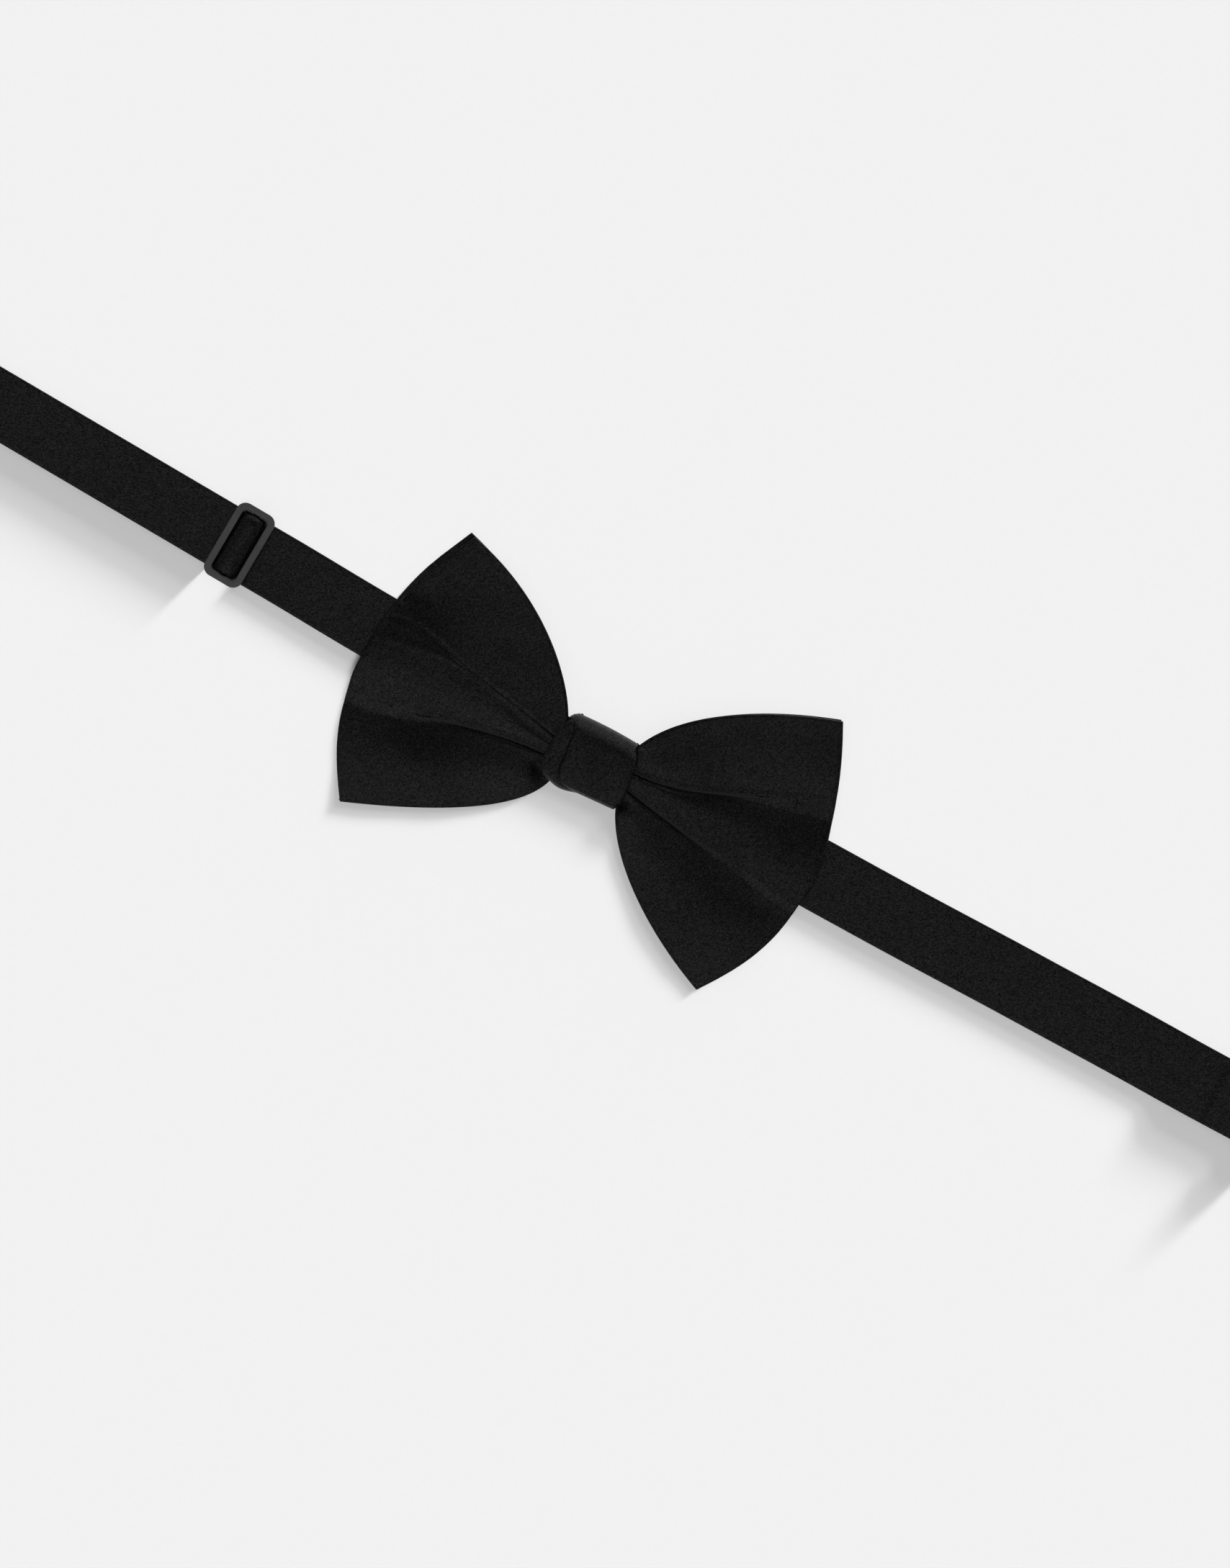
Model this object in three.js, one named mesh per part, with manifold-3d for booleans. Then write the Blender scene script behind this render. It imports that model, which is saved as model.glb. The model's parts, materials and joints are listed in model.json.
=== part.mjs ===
// A pre-tied satin bow tie on an adjustable neck strap, lying face up.
// Units are millimetres. The origin is the middle of the knot's flat back.
// +X runs along the strap towards the eye, +Y across the bow, +Z out of the bow's face.

import * as THREE from 'three';
import * as BufferGeometryUtils from 'three/addons/utils/BufferGeometryUtils.js';
import Module from 'manifold-3d';

const wasm = await Module();
wasm.setup();

// ---- Driving dimensions ----

// Neck strap: a pressed satin band with a fused interlining, squeezed narrow inside the knot.
const STRAP_THICKNESS = 0.9;
const STRAP_WIDTH = { left: 16.4, right: 17.6, waist: 9.6 };
const STRAP_SPLAY = THREE.MathUtils.degToRad(1);
const STRAP_WAIST_Z = 2.45;
const STRAP_FLAT_Z = STRAP_THICKNESS / 2;
const RAMP_START = 12;
const RAMP_END = 40;
const PLY_GAP = 0.2;
const UPPER_PLY_Z = STRAP_FLAT_Z + STRAP_THICKNESS + PLY_GAP;
const SECTION_GAP = 0.3;

// Distances along the strap from the knot.
const SLIDER_X = 101.1;
const HOOK_BAR_X = 183;
const EYE_BAR_X = 190;
const FOLD_LENGTH = 9;
const EYE_RETURN_LENGTH = 20;

// Hook and eye: both hang on a round bar that the strap folds about.
const BAR_RADIUS = 0.6;
const BAR_CLEARANCE = 0.3;
const FOLD_RADIUS = BAR_RADIUS + BAR_CLEARANCE + STRAP_THICKNESS / 2;
const BAR_Z = STRAP_FLAT_Z + FOLD_RADIUS;

// How finely a band follows its route: steps between two neighbouring points.
const STEPS_PER_SPAN = 3;

// Slide adjuster.
const SLIDER = { length: 10.5, width: 19.8, corner: 2.5, thickness: 1.3, base: 2.3 };
const WINDOW = { length: 6.8, width: 17, corner: 1.3 };
const CENTRE_BAR = { length: 1.4, width: 18, thickness: 0.9, z: 2.2 };
const WEAVE_REACH = 4.2;
const WEAVE_SQUEEZE = 0.4;
const LOOP_THICKNESS = 0.7;

// Blades: a front and a back one, each of a face, an interlining and a backing.
const PLY_THICKNESS = 0.3;
const PLY_PITCH = 0.55;
const BLADE_WAIST_Z = 4;
const BLADE_WING_Z = 1.6;
const BLADE_DROOP = { depth: 0.9, startY: 10, endY: 32 };
const BLADE_PUFF = 1.3;
const FRONT_LAYER = 3;
const PLEAT_HEIGHT = 1.5;
const PLEAT_BAND = { low: 0.4, high: 0.62, slope: 0.04 };
const INTERLINING_INSET = 0.03;
const WAIST = { low: -8.3, high: 4.5, left: -10.8, rightLow: 12.8, rightHigh: 10.3 };

// Knot: an inner and an outer turn of one satin band round the waist.
const KNOT_SHEAR = -0.2;
const KNOT_CENTRE_Y = -2;
const OUTER_WRAP = { x: [-6.2, 11.2], y: [-10.9, 7.1], z: [0, 10.2], wall: 0.8, corner: 3 };
const INNER_WRAP = { x: [-10.4, 7.6], y: [-9.8, 6], z: [1.1, 8.6], wall: 0.6, corner: 1.2 };
const KNOT_PAD = { x: [-5, 9], y: [-8, 4.2], z: [8.85, 9.25] };
const SEAM_GROOVE = { y: -5.2, width: 1.4, depth: 0.45, length: 14 };
const BINDING = { x: -2, pitch: 0.9, turns: 3, radius: 0.2, y: [-8.8, 5], z: [3.42, 7.58] };

// ---- Materials ----

function fabric(color, roughness) {
  return new THREE.MeshStandardMaterial({ color, roughness, metalness: 0 });
}

function metal(color, roughness) {
  return new THREE.MeshStandardMaterial({ color, roughness, metalness: 0.8 });
}

const BLACK_SATIN = { color: 0x1b1a1a, roughness: 0.45 };
const satin = () => fabric(BLACK_SATIN.color, BLACK_SATIN.roughness);
const interlining = () => fabric(0x2b2b2e, 0.9);
const thread = () => fabric(0x141414, 0.6);
const gunmetal = () => metal(0x48484a, 0.4);

// ---- Solids and shapes ----

function toSolid(geometry) {
  const bare = geometry.clone();
  bare.deleteAttribute('normal');
  bare.deleteAttribute('uv');
  const merged = BufferGeometryUtils.mergeVertices(bare, 1e-4);
  const vertProperties = new Float32Array(merged.attributes.position.array);
  const triVerts = new Uint32Array(merged.index.array);
  return new wasm.Manifold(new wasm.Mesh({ numProp: 3, vertProperties, triVerts }));
}

function toGeometry(solid) {
  const mesh = solid.getMesh();
  const geometry = new THREE.BufferGeometry();
  geometry.setAttribute('position', new THREE.BufferAttribute(mesh.vertProperties, 3));
  geometry.setIndex(new THREE.BufferAttribute(mesh.triVerts, 1));
  return geometry;
}

function boxBetween(x, y, z) {
  const geometry = new THREE.BoxGeometry(x[1] - x[0], y[1] - y[0], z[1] - z[0]);
  return geometry.translate((x[0] + x[1]) / 2, (y[0] + y[1]) / 2, (z[0] + z[1]) / 2);
}

// A rounded rectangle on a Shape or a Path, from low corner to high corner.
function roundedRectangle(path, x, y, radius) {
  const corners = [[x[1], y[0], 0], [x[1], y[1], 90], [x[0], y[1], 180], [x[0], y[0], 270]];
  path.moveTo(x[0] + radius, y[0]);
  for (const [cornerX, cornerY, turn] of corners) {
    const centreX = cornerX === x[0] ? cornerX + radius : cornerX - radius;
    const centreY = cornerY === y[0] ? cornerY + radius : cornerY - radius;
    const end = THREE.MathUtils.degToRad(turn);
    path.absarc(centreX, centreY, radius, end - Math.PI / 2, end, false);
  }
  path.closePath();
  return path;
}

// A closed solid through a row of rings that all have the same number of points.
function loft(rings) {
  const size = rings[0].length;
  const vertices = rings.flat().flatMap((point) => point.toArray());
  const index = [];
  for (let ring = 0; ring < rings.length - 1; ring += 1) {
    for (let corner = 0; corner < size; corner += 1) {
      const a = ring * size + corner;
      const b = ring * size + ((corner + 1) % size);
      index.push(a, b, b + size, a, b + size, a + size);
    }
  }
  const last = (rings.length - 1) * size;
  for (let corner = 1; corner < size - 1; corner += 1) {
    index.push(0, corner + 1, corner);
    index.push(last, last + corner, last + corner + 1);
  }
  const geometry = new THREE.BufferGeometry();
  geometry.setAttribute('position', new THREE.Float32BufferAttribute(vertices, 3));
  geometry.setIndex(index);
  return geometry;
}

// A band seen from the side: the route is [x, z] points along its middle, and its width is along Y.
// The width is a number or a function of x, and no part of the band goes below lowest.
function bandAlong(route, thickness, width, lowest = 0) {
  const steps = (route.length - 1) * STEPS_PER_SPAN;
  const points = route.map(([x, z]) => new THREE.Vector3(x, 0, z));
  const curve = new THREE.CatmullRomCurve3(points, false, 'centripetal');
  const rings = [];
  for (let step = 0; step <= steps; step += 1) {
    const centre = curve.getPoint(step / steps);
    const tangent = curve.getTangent(step / steps);
    const normal = new THREE.Vector3(-tangent.z, 0, tangent.x).multiplyScalar(thickness / 2);
    const reach = (typeof width === 'function' ? width(centre.x) : width) / 2;
    const corner = (side, level) => {
      const point = centre.clone().addScaledVector(normal, level);
      return new THREE.Vector3(point.x, side * reach, Math.max(point.z, lowest));
    };
    rings.push([corner(-1, -1), corner(1, -1), corner(1, 1), corner(-1, 1)]);
  }
  return loft(rings);
}

// A thread along a smooth path.
function threadAlong(points, radius, steps) {
  const section = new THREE.Shape();
  section.absarc(0, 0, radius, 0, Math.PI * 2, false);
  const path = new THREE.CatmullRomCurve3(points, false, 'centripetal');
  return new THREE.ExtrudeGeometry(section, {
    extrudePath: path,
    steps,
    curveSegments: 3,
    bevelEnabled: false,
  });
}

const smooth = THREE.MathUtils.smoothstep;
const lerp = THREE.MathUtils.lerp;

// ---- Blades ----

const point2 = (x, y) => new THREE.Vector2(x, y);
const cubic = (...points) => new THREE.CubicBezierCurve(...points);

const waistCorner = {
  leftLow: point2(WAIST.left, WAIST.low),
  leftHigh: point2(WAIST.left, WAIST.high),
  rightLow: point2(WAIST.rightLow, WAIST.low),
  rightHigh: point2(WAIST.rightHigh, WAIST.high),
};

// A wing is bounded by its waist, its lower and upper edges, and its outer end.
function wing(low, high, lowTip, highTip, lowPull, highPull, endPull) {
  return {
    bottom: cubic(low, ...lowPull, lowTip),
    top: cubic(high, ...highPull, highTip),
    outer: cubic(lowTip, ...endPull, highTip),
    low,
    high,
  };
}

const leftLowTip = point2(-48.5, -41);
const rightLowTip = point2(50.5, -38);
const rightHighTip = point2(49.5, 37);
const leftLowPull = [point2(-11, -22), point2(-25, -31)];
const leftHighPull = [point2(-16.5, 14), point2(-32, 27)];
const rightLowPull = [point2(16.5, -20), point2(31, -30)];
const rightHighPull = [point2(13, 18), point2(30, 28)];

function frontWings() {
  const corner = waistCorner;
  const leftEnd = [point2(-62, -26), point2(-68, 3)];
  const rightEnd = [point2(66, -19), point2(68, 4)];
  const leftTip = point2(-52, 32);
  return {
    left: wing(corner.leftLow, corner.leftHigh, leftLowTip, leftTip, leftLowPull, leftHighPull, leftEnd),
    right: wing(
      corner.rightLow, corner.rightHigh, rightLowTip, rightHighTip, rightLowPull, rightHighPull, rightEnd,
    ),
  };
}

function backWings() {
  const corner = waistCorner;
  const leftEnd = [point2(-60, -26), point2(-70.5, 5)];
  const rightEnd = [point2(64, -19), point2(67, 4)];
  const leftTip = point2(-53, 32.4);
  return {
    left: wing(corner.leftLow, corner.leftHigh, leftLowTip, leftTip, leftLowPull, leftHighPull, leftEnd),
    right: wing(
      corner.rightLow, corner.rightHigh, rightLowTip, rightHighTip, rightLowPull, rightHighPull, rightEnd,
    ),
  };
}

// A point of a wing's outline surface: u runs from the waist to the outer end, v from low to high.
function wingPoint(side, u, v) {
  const bottom = side.bottom.getPoint(u);
  const top = side.top.getPoint(u);
  const waist = side.low.clone().lerp(side.high, v);
  const outer = side.outer.getPoint(v);
  const lowLine = side.low.clone().lerp(side.bottom.getPoint(1), u);
  const highLine = side.high.clone().lerp(side.top.getPoint(1), u);
  const across = bottom.lerp(top, v);
  const along = waist.lerp(outer, u);
  return across.add(along).sub(lowLine.lerp(highLine, v));
}

function bladeHeight(x, y, u, v, front) {
  const base = lerp(BLADE_WAIST_Z, BLADE_WING_Z, smooth(Math.abs(x), RAMP_START, RAMP_END));
  const droop = BLADE_DROOP.depth * smooth(Math.abs(y), BLADE_DROOP.startY, BLADE_DROOP.endY);
  const rise = smooth(v, PLEAT_BAND.low - PLEAT_BAND.slope, PLEAT_BAND.low);
  const fall = smooth(v, PLEAT_BAND.high, PLEAT_BAND.high + PLEAT_BAND.slope);
  const swell = Math.sin(Math.PI * u);
  const lift = front ? swell * (BLADE_PUFF + PLEAT_HEIGHT * (rise - fall)) : 0;
  return base - droop + lift;
}

const U_STATIONS = [0, 0.08, 0.18, 0.3, 0.44, 0.58, 0.72, 0.86, 1];
const V_STATIONS = [0, 0.12, 0.26, 0.36, 0.4, 0.51, 0.62, 0.66, 0.82, 1];

// One ply of cloth that runs from wing end to wing end through the waist.
function bladePly(wings, layer, inset) {
  const front = layer >= FRONT_LAYER;
  const uStations = U_STATIONS.map((u) => Math.min(u, 1 - inset));
  const vStations = V_STATIONS.map((v) => THREE.MathUtils.clamp(v, inset, 1 - inset));
  const columns = [
    ...uStations.map((u) => [wings.left, u]).reverse(),
    ...uStations.map((u) => [wings.right, u]),
  ];
  const vertices = [];
  for (const level of [0, PLY_THICKNESS]) {
    for (const [side, u] of columns) {
      for (const v of vStations) {
        const at = wingPoint(side, u, v);
        const z = bladeHeight(at.x, at.y, u, v, front) + layer * PLY_PITCH + level;
        vertices.push(at.x, at.y, z);
      }
    }
  }
  const rows = vStations.length;
  const upper = columns.length * rows;
  const index = [];
  const quad = (a, b, c, d) => index.push(a, b, c, a, c, d);
  for (let column = 0; column < columns.length - 1; column += 1) {
    for (let row = 0; row < rows - 1; row += 1) {
      const a = column * rows + row;
      quad(upper + a, upper + a + rows, upper + a + rows + 1, upper + a + 1);
      quad(a, a + 1, a + rows + 1, a + rows);
    }
    const low = column * rows;
    const high = low + rows - 1;
    quad(low, low + rows, upper + low + rows, upper + low);
    quad(high + rows, high, upper + high, upper + high + rows);
  }
  const last = (columns.length - 1) * rows;
  for (let row = 0; row < rows - 1; row += 1) {
    quad(row + 1, row, upper + row, upper + row + 1);
    quad(last + row, last + row + 1, upper + last + row + 1, upper + last + row);
  }
  const geometry = new THREE.BufferGeometry();
  geometry.setAttribute('position', new THREE.Float32BufferAttribute(vertices, 3));
  geometry.setIndex(index);
  return geometry;
}

// ---- Knot ----

// A sleeve of constant wall round the waist, cut from x[0] to x[1].
function sleeve({ x, y, z, wall, corner }) {
  const outline = roundedRectangle(new THREE.Shape(), y, z, corner);
  const innerY = [y[0] + wall, y[1] - wall];
  const innerZ = [z[0] + wall, z[1] - wall];
  outline.holes.push(roundedRectangle(new THREE.Path(), innerY, innerZ, corner - wall));
  const geometry = new THREE.ExtrudeGeometry(outline, {
    depth: x[1] - x[0],
    curveSegments: 4,
    bevelEnabled: false,
  });
  const alongX = new THREE.Matrix4().makeBasis(
    new THREE.Vector3(0, 1, 0),
    new THREE.Vector3(0, 0, 1),
    new THREE.Vector3(1, 0, 0),
  );
  return geometry.applyMatrix4(alongX).translate(x[0], 0, 0);
}

// The outer turn leans: its lower edge sits further along +X than its upper edge.
function lean(geometry) {
  const shear = new THREE.Matrix4().makeShear(0, 0, KNOT_SHEAR, 0, 0, 0);
  return geometry.translate(0, -KNOT_CENTRE_Y, 0).applyMatrix4(shear).translate(0, KNOT_CENTRE_Y, 0);
}

const middle = (range) => (range[0] + range[1]) / 2;

function knotOuterWrap() {
  const halfLength = SEAM_GROOVE.length / 2;
  const centre = middle(OUTER_WRAP.x);
  const groove = boxBetween(
    [centre - halfLength, centre + halfLength],
    [SEAM_GROOVE.y - SEAM_GROOVE.width / 2, SEAM_GROOVE.y + SEAM_GROOVE.width / 2],
    [-1, SEAM_GROOVE.depth],
  );
  return toGeometry(toSolid(lean(sleeve(OUTER_WRAP))).subtract(toSolid(groove)));
}

// Slip stitches that close the band's end on the knot's back, sunk in the seam.
function knotClosingStitches() {
  const radius = 0.12;
  const stitches = 12;
  const reach = SEAM_GROOVE.width / 2 - 0.3;
  const start = middle(OUTER_WRAP.x) - SEAM_GROOVE.length / 2 + 0.6;
  const pitch = (SEAM_GROOVE.length - 1.2) / stitches;
  const points = [];
  for (let stitch = 0; stitch <= stitches; stitch += 1) {
    const side = stitch % 2 === 0 ? reach : -reach;
    points.push(new THREE.Vector3(start + stitch * pitch, SEAM_GROOVE.y + side, SEAM_GROOVE.depth / 2));
  }
  return threadAlong(points, radius, stitches * 2);
}

// Thread wound round the gathered blades to hold their pleats.
function waistBindingThread() {
  const { x, pitch, turns, radius, y, z } = BINDING;
  const cut = 0.25;
  const straight = 0.9;
  const loop = [
    [y[0] + cut, z[0]], [y[0] + straight, z[0]], [y[1] - straight, z[0]], [y[1] - cut, z[0]],
    [y[1], z[0] + cut], [y[1], z[0] + straight], [y[1], z[1] - straight], [y[1], z[1] - cut],
    [y[1] - cut, z[1]], [y[1] - straight, z[1]], [y[0] + straight, z[1]], [y[0] + cut, z[1]],
    [y[0], z[1] - cut], [y[0], z[1] - straight], [y[0], z[0] + straight], [y[0], z[0] + cut],
  ];
  const points = [];
  for (let step = 0; step < turns * loop.length; step += 1) {
    const [across, up] = loop[step % loop.length];
    points.push(new THREE.Vector3(x + (pitch * step) / loop.length, across, up));
  }
  return threadAlong(points, radius, points.length * 2);
}

// ---- Neck strap ----

// The strap narrows to the waist width inside the knot and under the wings.
const narrowAtWaist = (width) => (x) => (
  lerp(STRAP_WIDTH.waist, width, smooth(Math.abs(x), RAMP_START + 2, RAMP_START + 14))
);

const rampDown = (side) => [
  [side * SECTION_GAP, STRAP_WAIST_Z],
  [side * 6, STRAP_WAIST_Z],
  [side * RAMP_START, STRAP_WAIST_Z],
  [side * 18, lerp(STRAP_WAIST_Z, STRAP_FLAT_Z, 0.15)],
  [side * 26, (STRAP_WAIST_Z + STRAP_FLAT_Z) / 2],
  [side * 34, lerp(STRAP_WAIST_Z, STRAP_FLAT_Z, 0.85)],
  [side * RAMP_END, STRAP_FLAT_Z],
  [side * 44, STRAP_FLAT_Z],
];

function leftStrap() {
  const end = -(SLIDER_X - WEAVE_REACH - SECTION_GAP);
  const route = [...rampDown(-1), [end, STRAP_FLAT_Z]];
  return bandAlong(route, STRAP_THICKNESS, narrowAtWaist(STRAP_WIDTH.left));
}

// Half a turn about a bar, from its top to its bottom.
const barTurn = (barX) => [30, 60, 90, 120, 150].map((degrees) => {
  const angle = THREE.MathUtils.degToRad(degrees);
  return [barX + FOLD_RADIUS * Math.sin(angle), BAR_Z + FOLD_RADIUS * Math.cos(angle)];
});

// The upper ply drops from the fold's top to lie on the lower ply; side is -1 left and 1 right.
function foldRoute(side, barX) {
  const route = [
    [barX - FOLD_LENGTH, UPPER_PLY_Z],
    [barX - 6.5, UPPER_PLY_Z + 0.15],
    [barX - 3, BAR_Z + FOLD_RADIUS - 0.35],
    [barX - 1, BAR_Z + FOLD_RADIUS],
    ...barTurn(barX),
    [barX - 1, STRAP_FLAT_Z],
    [barX - FOLD_LENGTH, STRAP_FLAT_Z],
  ];
  return route.map(([x, z]) => [side * x, z]);
}

function rightStrap() {
  const returnEnd = EYE_BAR_X - EYE_RETURN_LENGTH;
  const route = [
    ...rampDown(1),
    [returnEnd - 18, STRAP_FLAT_Z],
    [returnEnd - 12, STRAP_FLAT_Z],
    [returnEnd - 9, STRAP_FLAT_Z + 0.1],
    [returnEnd - 3, UPPER_PLY_Z - 0.1],
    [returnEnd, UPPER_PLY_Z],
    ...foldRoute(1, EYE_BAR_X),
    [returnEnd + 1, STRAP_FLAT_Z],
  ];
  return bandAlong(route, STRAP_THICKNESS, narrowAtWaist(STRAP_WIDTH.right));
}

function hookFold() {
  return bandAlong(foldRoute(-1, HOOK_BAR_X), STRAP_THICKNESS, STRAP_WIDTH.left);
}

// The two plies between the slider and the hook fold.
function pairedPly(z) {
  const start = -(SLIDER_X + WEAVE_REACH + SECTION_GAP);
  const end = -(HOOK_BAR_X - FOLD_LENGTH - SECTION_GAP);
  return bandAlong([[start, z], [end, z]], STRAP_THICKNESS, STRAP_WIDTH.left);
}

// A row of bar-tack stitches across a strap: reach is half its height along the given direction.
function barTack(width, stitches, radius, reach, direction) {
  const points = [];
  for (let stitch = 0; stitch <= stitches; stitch += 1) {
    const side = stitch % 2 === 0 ? reach : -reach;
    const across = new THREE.Vector3(0, lerp(-width / 2, width / 2, stitch / stitches), 0);
    points.push(across.addScaledVector(direction, side));
  }
  return threadAlong(points, radius, stitches * 2);
}

// ---- Slide adjuster, in its own frame with the origin under its middle ----

const half = (length) => [-length / 2, length / 2];

function sliderFrame() {
  const bevel = 0.25;
  const outline = roundedRectangle(new THREE.Shape(), half(SLIDER.length), half(SLIDER.width), SLIDER.corner);
  outline.holes.push(
    roundedRectangle(new THREE.Path(), half(WINDOW.length), half(WINDOW.width), WINDOW.corner),
  );
  const frame = new THREE.ExtrudeGeometry(outline, {
    depth: SLIDER.thickness - 2 * bevel,
    bevelThickness: bevel,
    bevelSize: bevel,
    bevelOffset: -bevel,
    bevelSegments: 1,
    curveSegments: 4,
  }).translate(0, 0, SLIDER.base + bevel);
  const bar = boxBetween(
    half(CENTRE_BAR.length),
    half(CENTRE_BAR.width),
    [CENTRE_BAR.z - CENTRE_BAR.thickness / 2, CENTRE_BAR.z + CENTRE_BAR.thickness / 2],
  );
  return toGeometry(toSolid(frame).add(toSolid(bar)));
}

// The strap climbs over the centre bar between the two side bars.
function sliderStrapArch() {
  const route = [
    [-WEAVE_REACH, UPPER_PLY_Z], [-3.35, 1.6], [-2.7, 2.1], [-2.35, 3], [-1.75, 3.95], [0, 4.2],
    [1.75, 3.95], [2.35, 3], [2.5, 1.9], [3.1, 0.8], [WEAVE_REACH, STRAP_FLAT_Z],
  ];
  return bandAlong(route, STRAP_THICKNESS, STRAP_WIDTH.left - WEAVE_SQUEEZE);
}

// The end of the return ply, turned round the centre bar.
function sliderReturnLoop() {
  const route = [
    [-WEAVE_REACH, STRAP_FLAT_Z], [-3.2, 0.5], [-2, 0.85], [-0.8, 1.17], [0.5, 1.2], [1.15, 1.55],
    [1.36, 2.2], [1.15, 2.85], [0.5, 3.2], [-0.7, 3.2], [-1.2, 3],
  ];
  return bandAlong(route, LOOP_THICKNESS, STRAP_WIDTH.left - 2 * WEAVE_SQUEEZE);
}

// ---- Hook and eye, each in its own frame with the origin on its bar's axis ----

function hook() {
  const frameWidth = 20.4;
  const notchWidth = STRAP_WIDTH.left + 0.8;
  const plateThickness = 1;
  const plateEnd = -5.2;
  const notchEnd = -3.2;
  const tongueWidth = 7;
  const tongueThickness = 0.8;
  const tongueTopZ = 0.9;
  const tongueLowZ = tongueThickness / 2 - BAR_Z + 0.1;
  const chamfer = point2(1.5, 2);
  const curlX = -12.5;
  const curlRadius = (tongueTopZ - tongueLowZ) / 2;
  const outline = new THREE.Shape([
    point2(0, -frameWidth / 2), point2(0, -notchWidth / 2), point2(notchEnd, -notchWidth / 2),
    point2(notchEnd, notchWidth / 2), point2(0, notchWidth / 2), point2(0, frameWidth / 2),
    point2(plateEnd + chamfer.x, frameWidth / 2), point2(plateEnd, frameWidth / 2 - chamfer.y),
    point2(plateEnd, chamfer.y - frameWidth / 2), point2(plateEnd + chamfer.x, -frameWidth / 2),
  ]);
  const plate = new THREE.ExtrudeGeometry(outline, { depth: plateThickness, bevelEnabled: false });
  plate.translate(0, 0, -plateThickness / 2);
  const bar = new THREE.CylinderGeometry(BAR_RADIUS, BAR_RADIUS, frameWidth, 12);
  const tongue = bandAlong(
    [
      [notchEnd - 0.6, 0], [-5, 0.1], [-6.5, 0.75], [-8, tongueTopZ], [curlX, tongueTopZ],
      [curlX - curlRadius * 0.8, tongueTopZ - curlRadius * 0.4], [curlX - curlRadius, tongueTopZ - curlRadius],
      [curlX - curlRadius * 0.8, tongueLowZ + curlRadius * 0.4], [curlX, tongueLowZ], [-9, tongueLowZ],
      [-7.5, tongueLowZ + 0.1],
    ],
    tongueThickness,
    tongueWidth,
    -BAR_Z,
  );
  return toGeometry(toSolid(plate).add(toSolid(bar)).add(toSolid(tongue)));
}

const EYE = { reach: 9, width: 20.6, wire: 1.2, corner: 2.2, tilt: THREE.MathUtils.degToRad(7.4) };

function eye() {
  const bevel = 0.3;
  const wire = EYE.wire;
  const start = -BAR_RADIUS;
  const outline = roundedRectangle(new THREE.Shape(), [start, EYE.reach], half(EYE.width), EYE.corner);
  const openingX = [start + wire, EYE.reach - wire];
  outline.holes.push(
    roundedRectangle(new THREE.Path(), openingX, half(EYE.width - 2 * wire), EYE.corner - wire),
  );
  return new THREE.ExtrudeGeometry(outline, {
    depth: wire - 2 * bevel,
    bevelThickness: bevel,
    bevelSize: bevel,
    bevelOffset: -bevel,
    bevelSegments: 1,
    curveSegments: 4,
  }).translate(0, 0, bevel - wire / 2);
}

// ---- Assembly ----

function part(name, geometry, material) {
  const mesh = new THREE.Mesh(geometry, material);
  mesh.name = name;
  return mesh;
}

function placed(object, x, y, z) {
  object.position.set(x, y, z);
  return object;
}

function buildBow() {
  const front = frontWings();
  const back = backWings();
  const bow = new THREE.Group();
  bow.add(
    part('back_blade_backing', bladePly(back, 0, 0), satin()),
    part('back_blade_interlining', bladePly(back, 1, INTERLINING_INSET), interlining()),
    part('back_blade_face', bladePly(back, 2, 0), satin()),
    part('front_blade_backing', bladePly(front, FRONT_LAYER, 0), satin()),
    part('front_blade_interlining', bladePly(front, FRONT_LAYER + 1, INTERLINING_INSET), interlining()),
    part('front_blade_face', bladePly(front, FRONT_LAYER + 2, 0), satin()),
    part('waist_binding_thread', waistBindingThread(), thread()),
    part('knot_inner_wrap', sleeve(INNER_WRAP), satin()),
    part('knot_interlining', boxBetween(KNOT_PAD.x, KNOT_PAD.y, KNOT_PAD.z), interlining()),
    part('knot_outer_wrap', knotOuterWrap(), satin()),
    part('knot_closing_stitches', knotClosingStitches(), thread()),
  );
  return bow;
}

function buildRightSide() {
  const side = new THREE.Group();
  const tackRadius = 0.18;
  const tackZ = UPPER_PLY_Z + STRAP_THICKNESS / 2 + 0.1 + tackRadius;
  const tack = barTack(14, 16, tackRadius, 0.9, new THREE.Vector3(1, 0, 0));
  const ring = placed(part('eye', eye(), gunmetal()), EYE_BAR_X, 0, BAR_Z);
  ring.rotation.y = EYE.tilt;
  side.add(
    part('right_strap', rightStrap(), satin()),
    placed(part('eye_fold_tack', tack, thread()), EYE_BAR_X - EYE_RETURN_LENGTH + 4, 0, tackZ),
    ring,
  );
  side.rotation.z = STRAP_SPLAY;
  return side;
}

function buildSlider() {
  const slider = new THREE.Group();
  const tack = barTack(13, 14, 0.12, 0.32, new THREE.Vector3(0, 0, 1));
  slider.add(
    part('slider_frame', sliderFrame(), gunmetal()),
    part('slider_strap_arch', sliderStrapArch(), satin()),
    part('slider_return_loop', sliderReturnLoop(), satin()),
    placed(part('slider_loop_tack', tack, thread()), -1.45, 0, 2),
  );
  return placed(slider, -SLIDER_X, 0, 0);
}

function buildLeftSide() {
  const side = new THREE.Group();
  side.add(
    part('left_strap', leftStrap(), satin()),
    buildSlider(),
    part('hook_side_strap', pairedPly(UPPER_PLY_Z), satin()),
    part('return_strap', pairedPly(STRAP_FLAT_Z), satin()),
    part('hook_fold', hookFold(), satin()),
    placed(part('hook', hook(), gunmetal()), -HOOK_BAR_X, 0, BAR_Z),
  );
  side.rotation.z = -STRAP_SPLAY;
  return side;
}

const bowTie = new THREE.Group();
bowTie.add(buildBow(), buildRightSide(), buildLeftSide());

export default bowTie;
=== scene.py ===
"""A black satin pre-tied bow tie on an adjustable neck strap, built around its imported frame."""
import json
import math

import bmesh
import bpy
from mathutils import Matrix, Vector, noise


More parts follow.
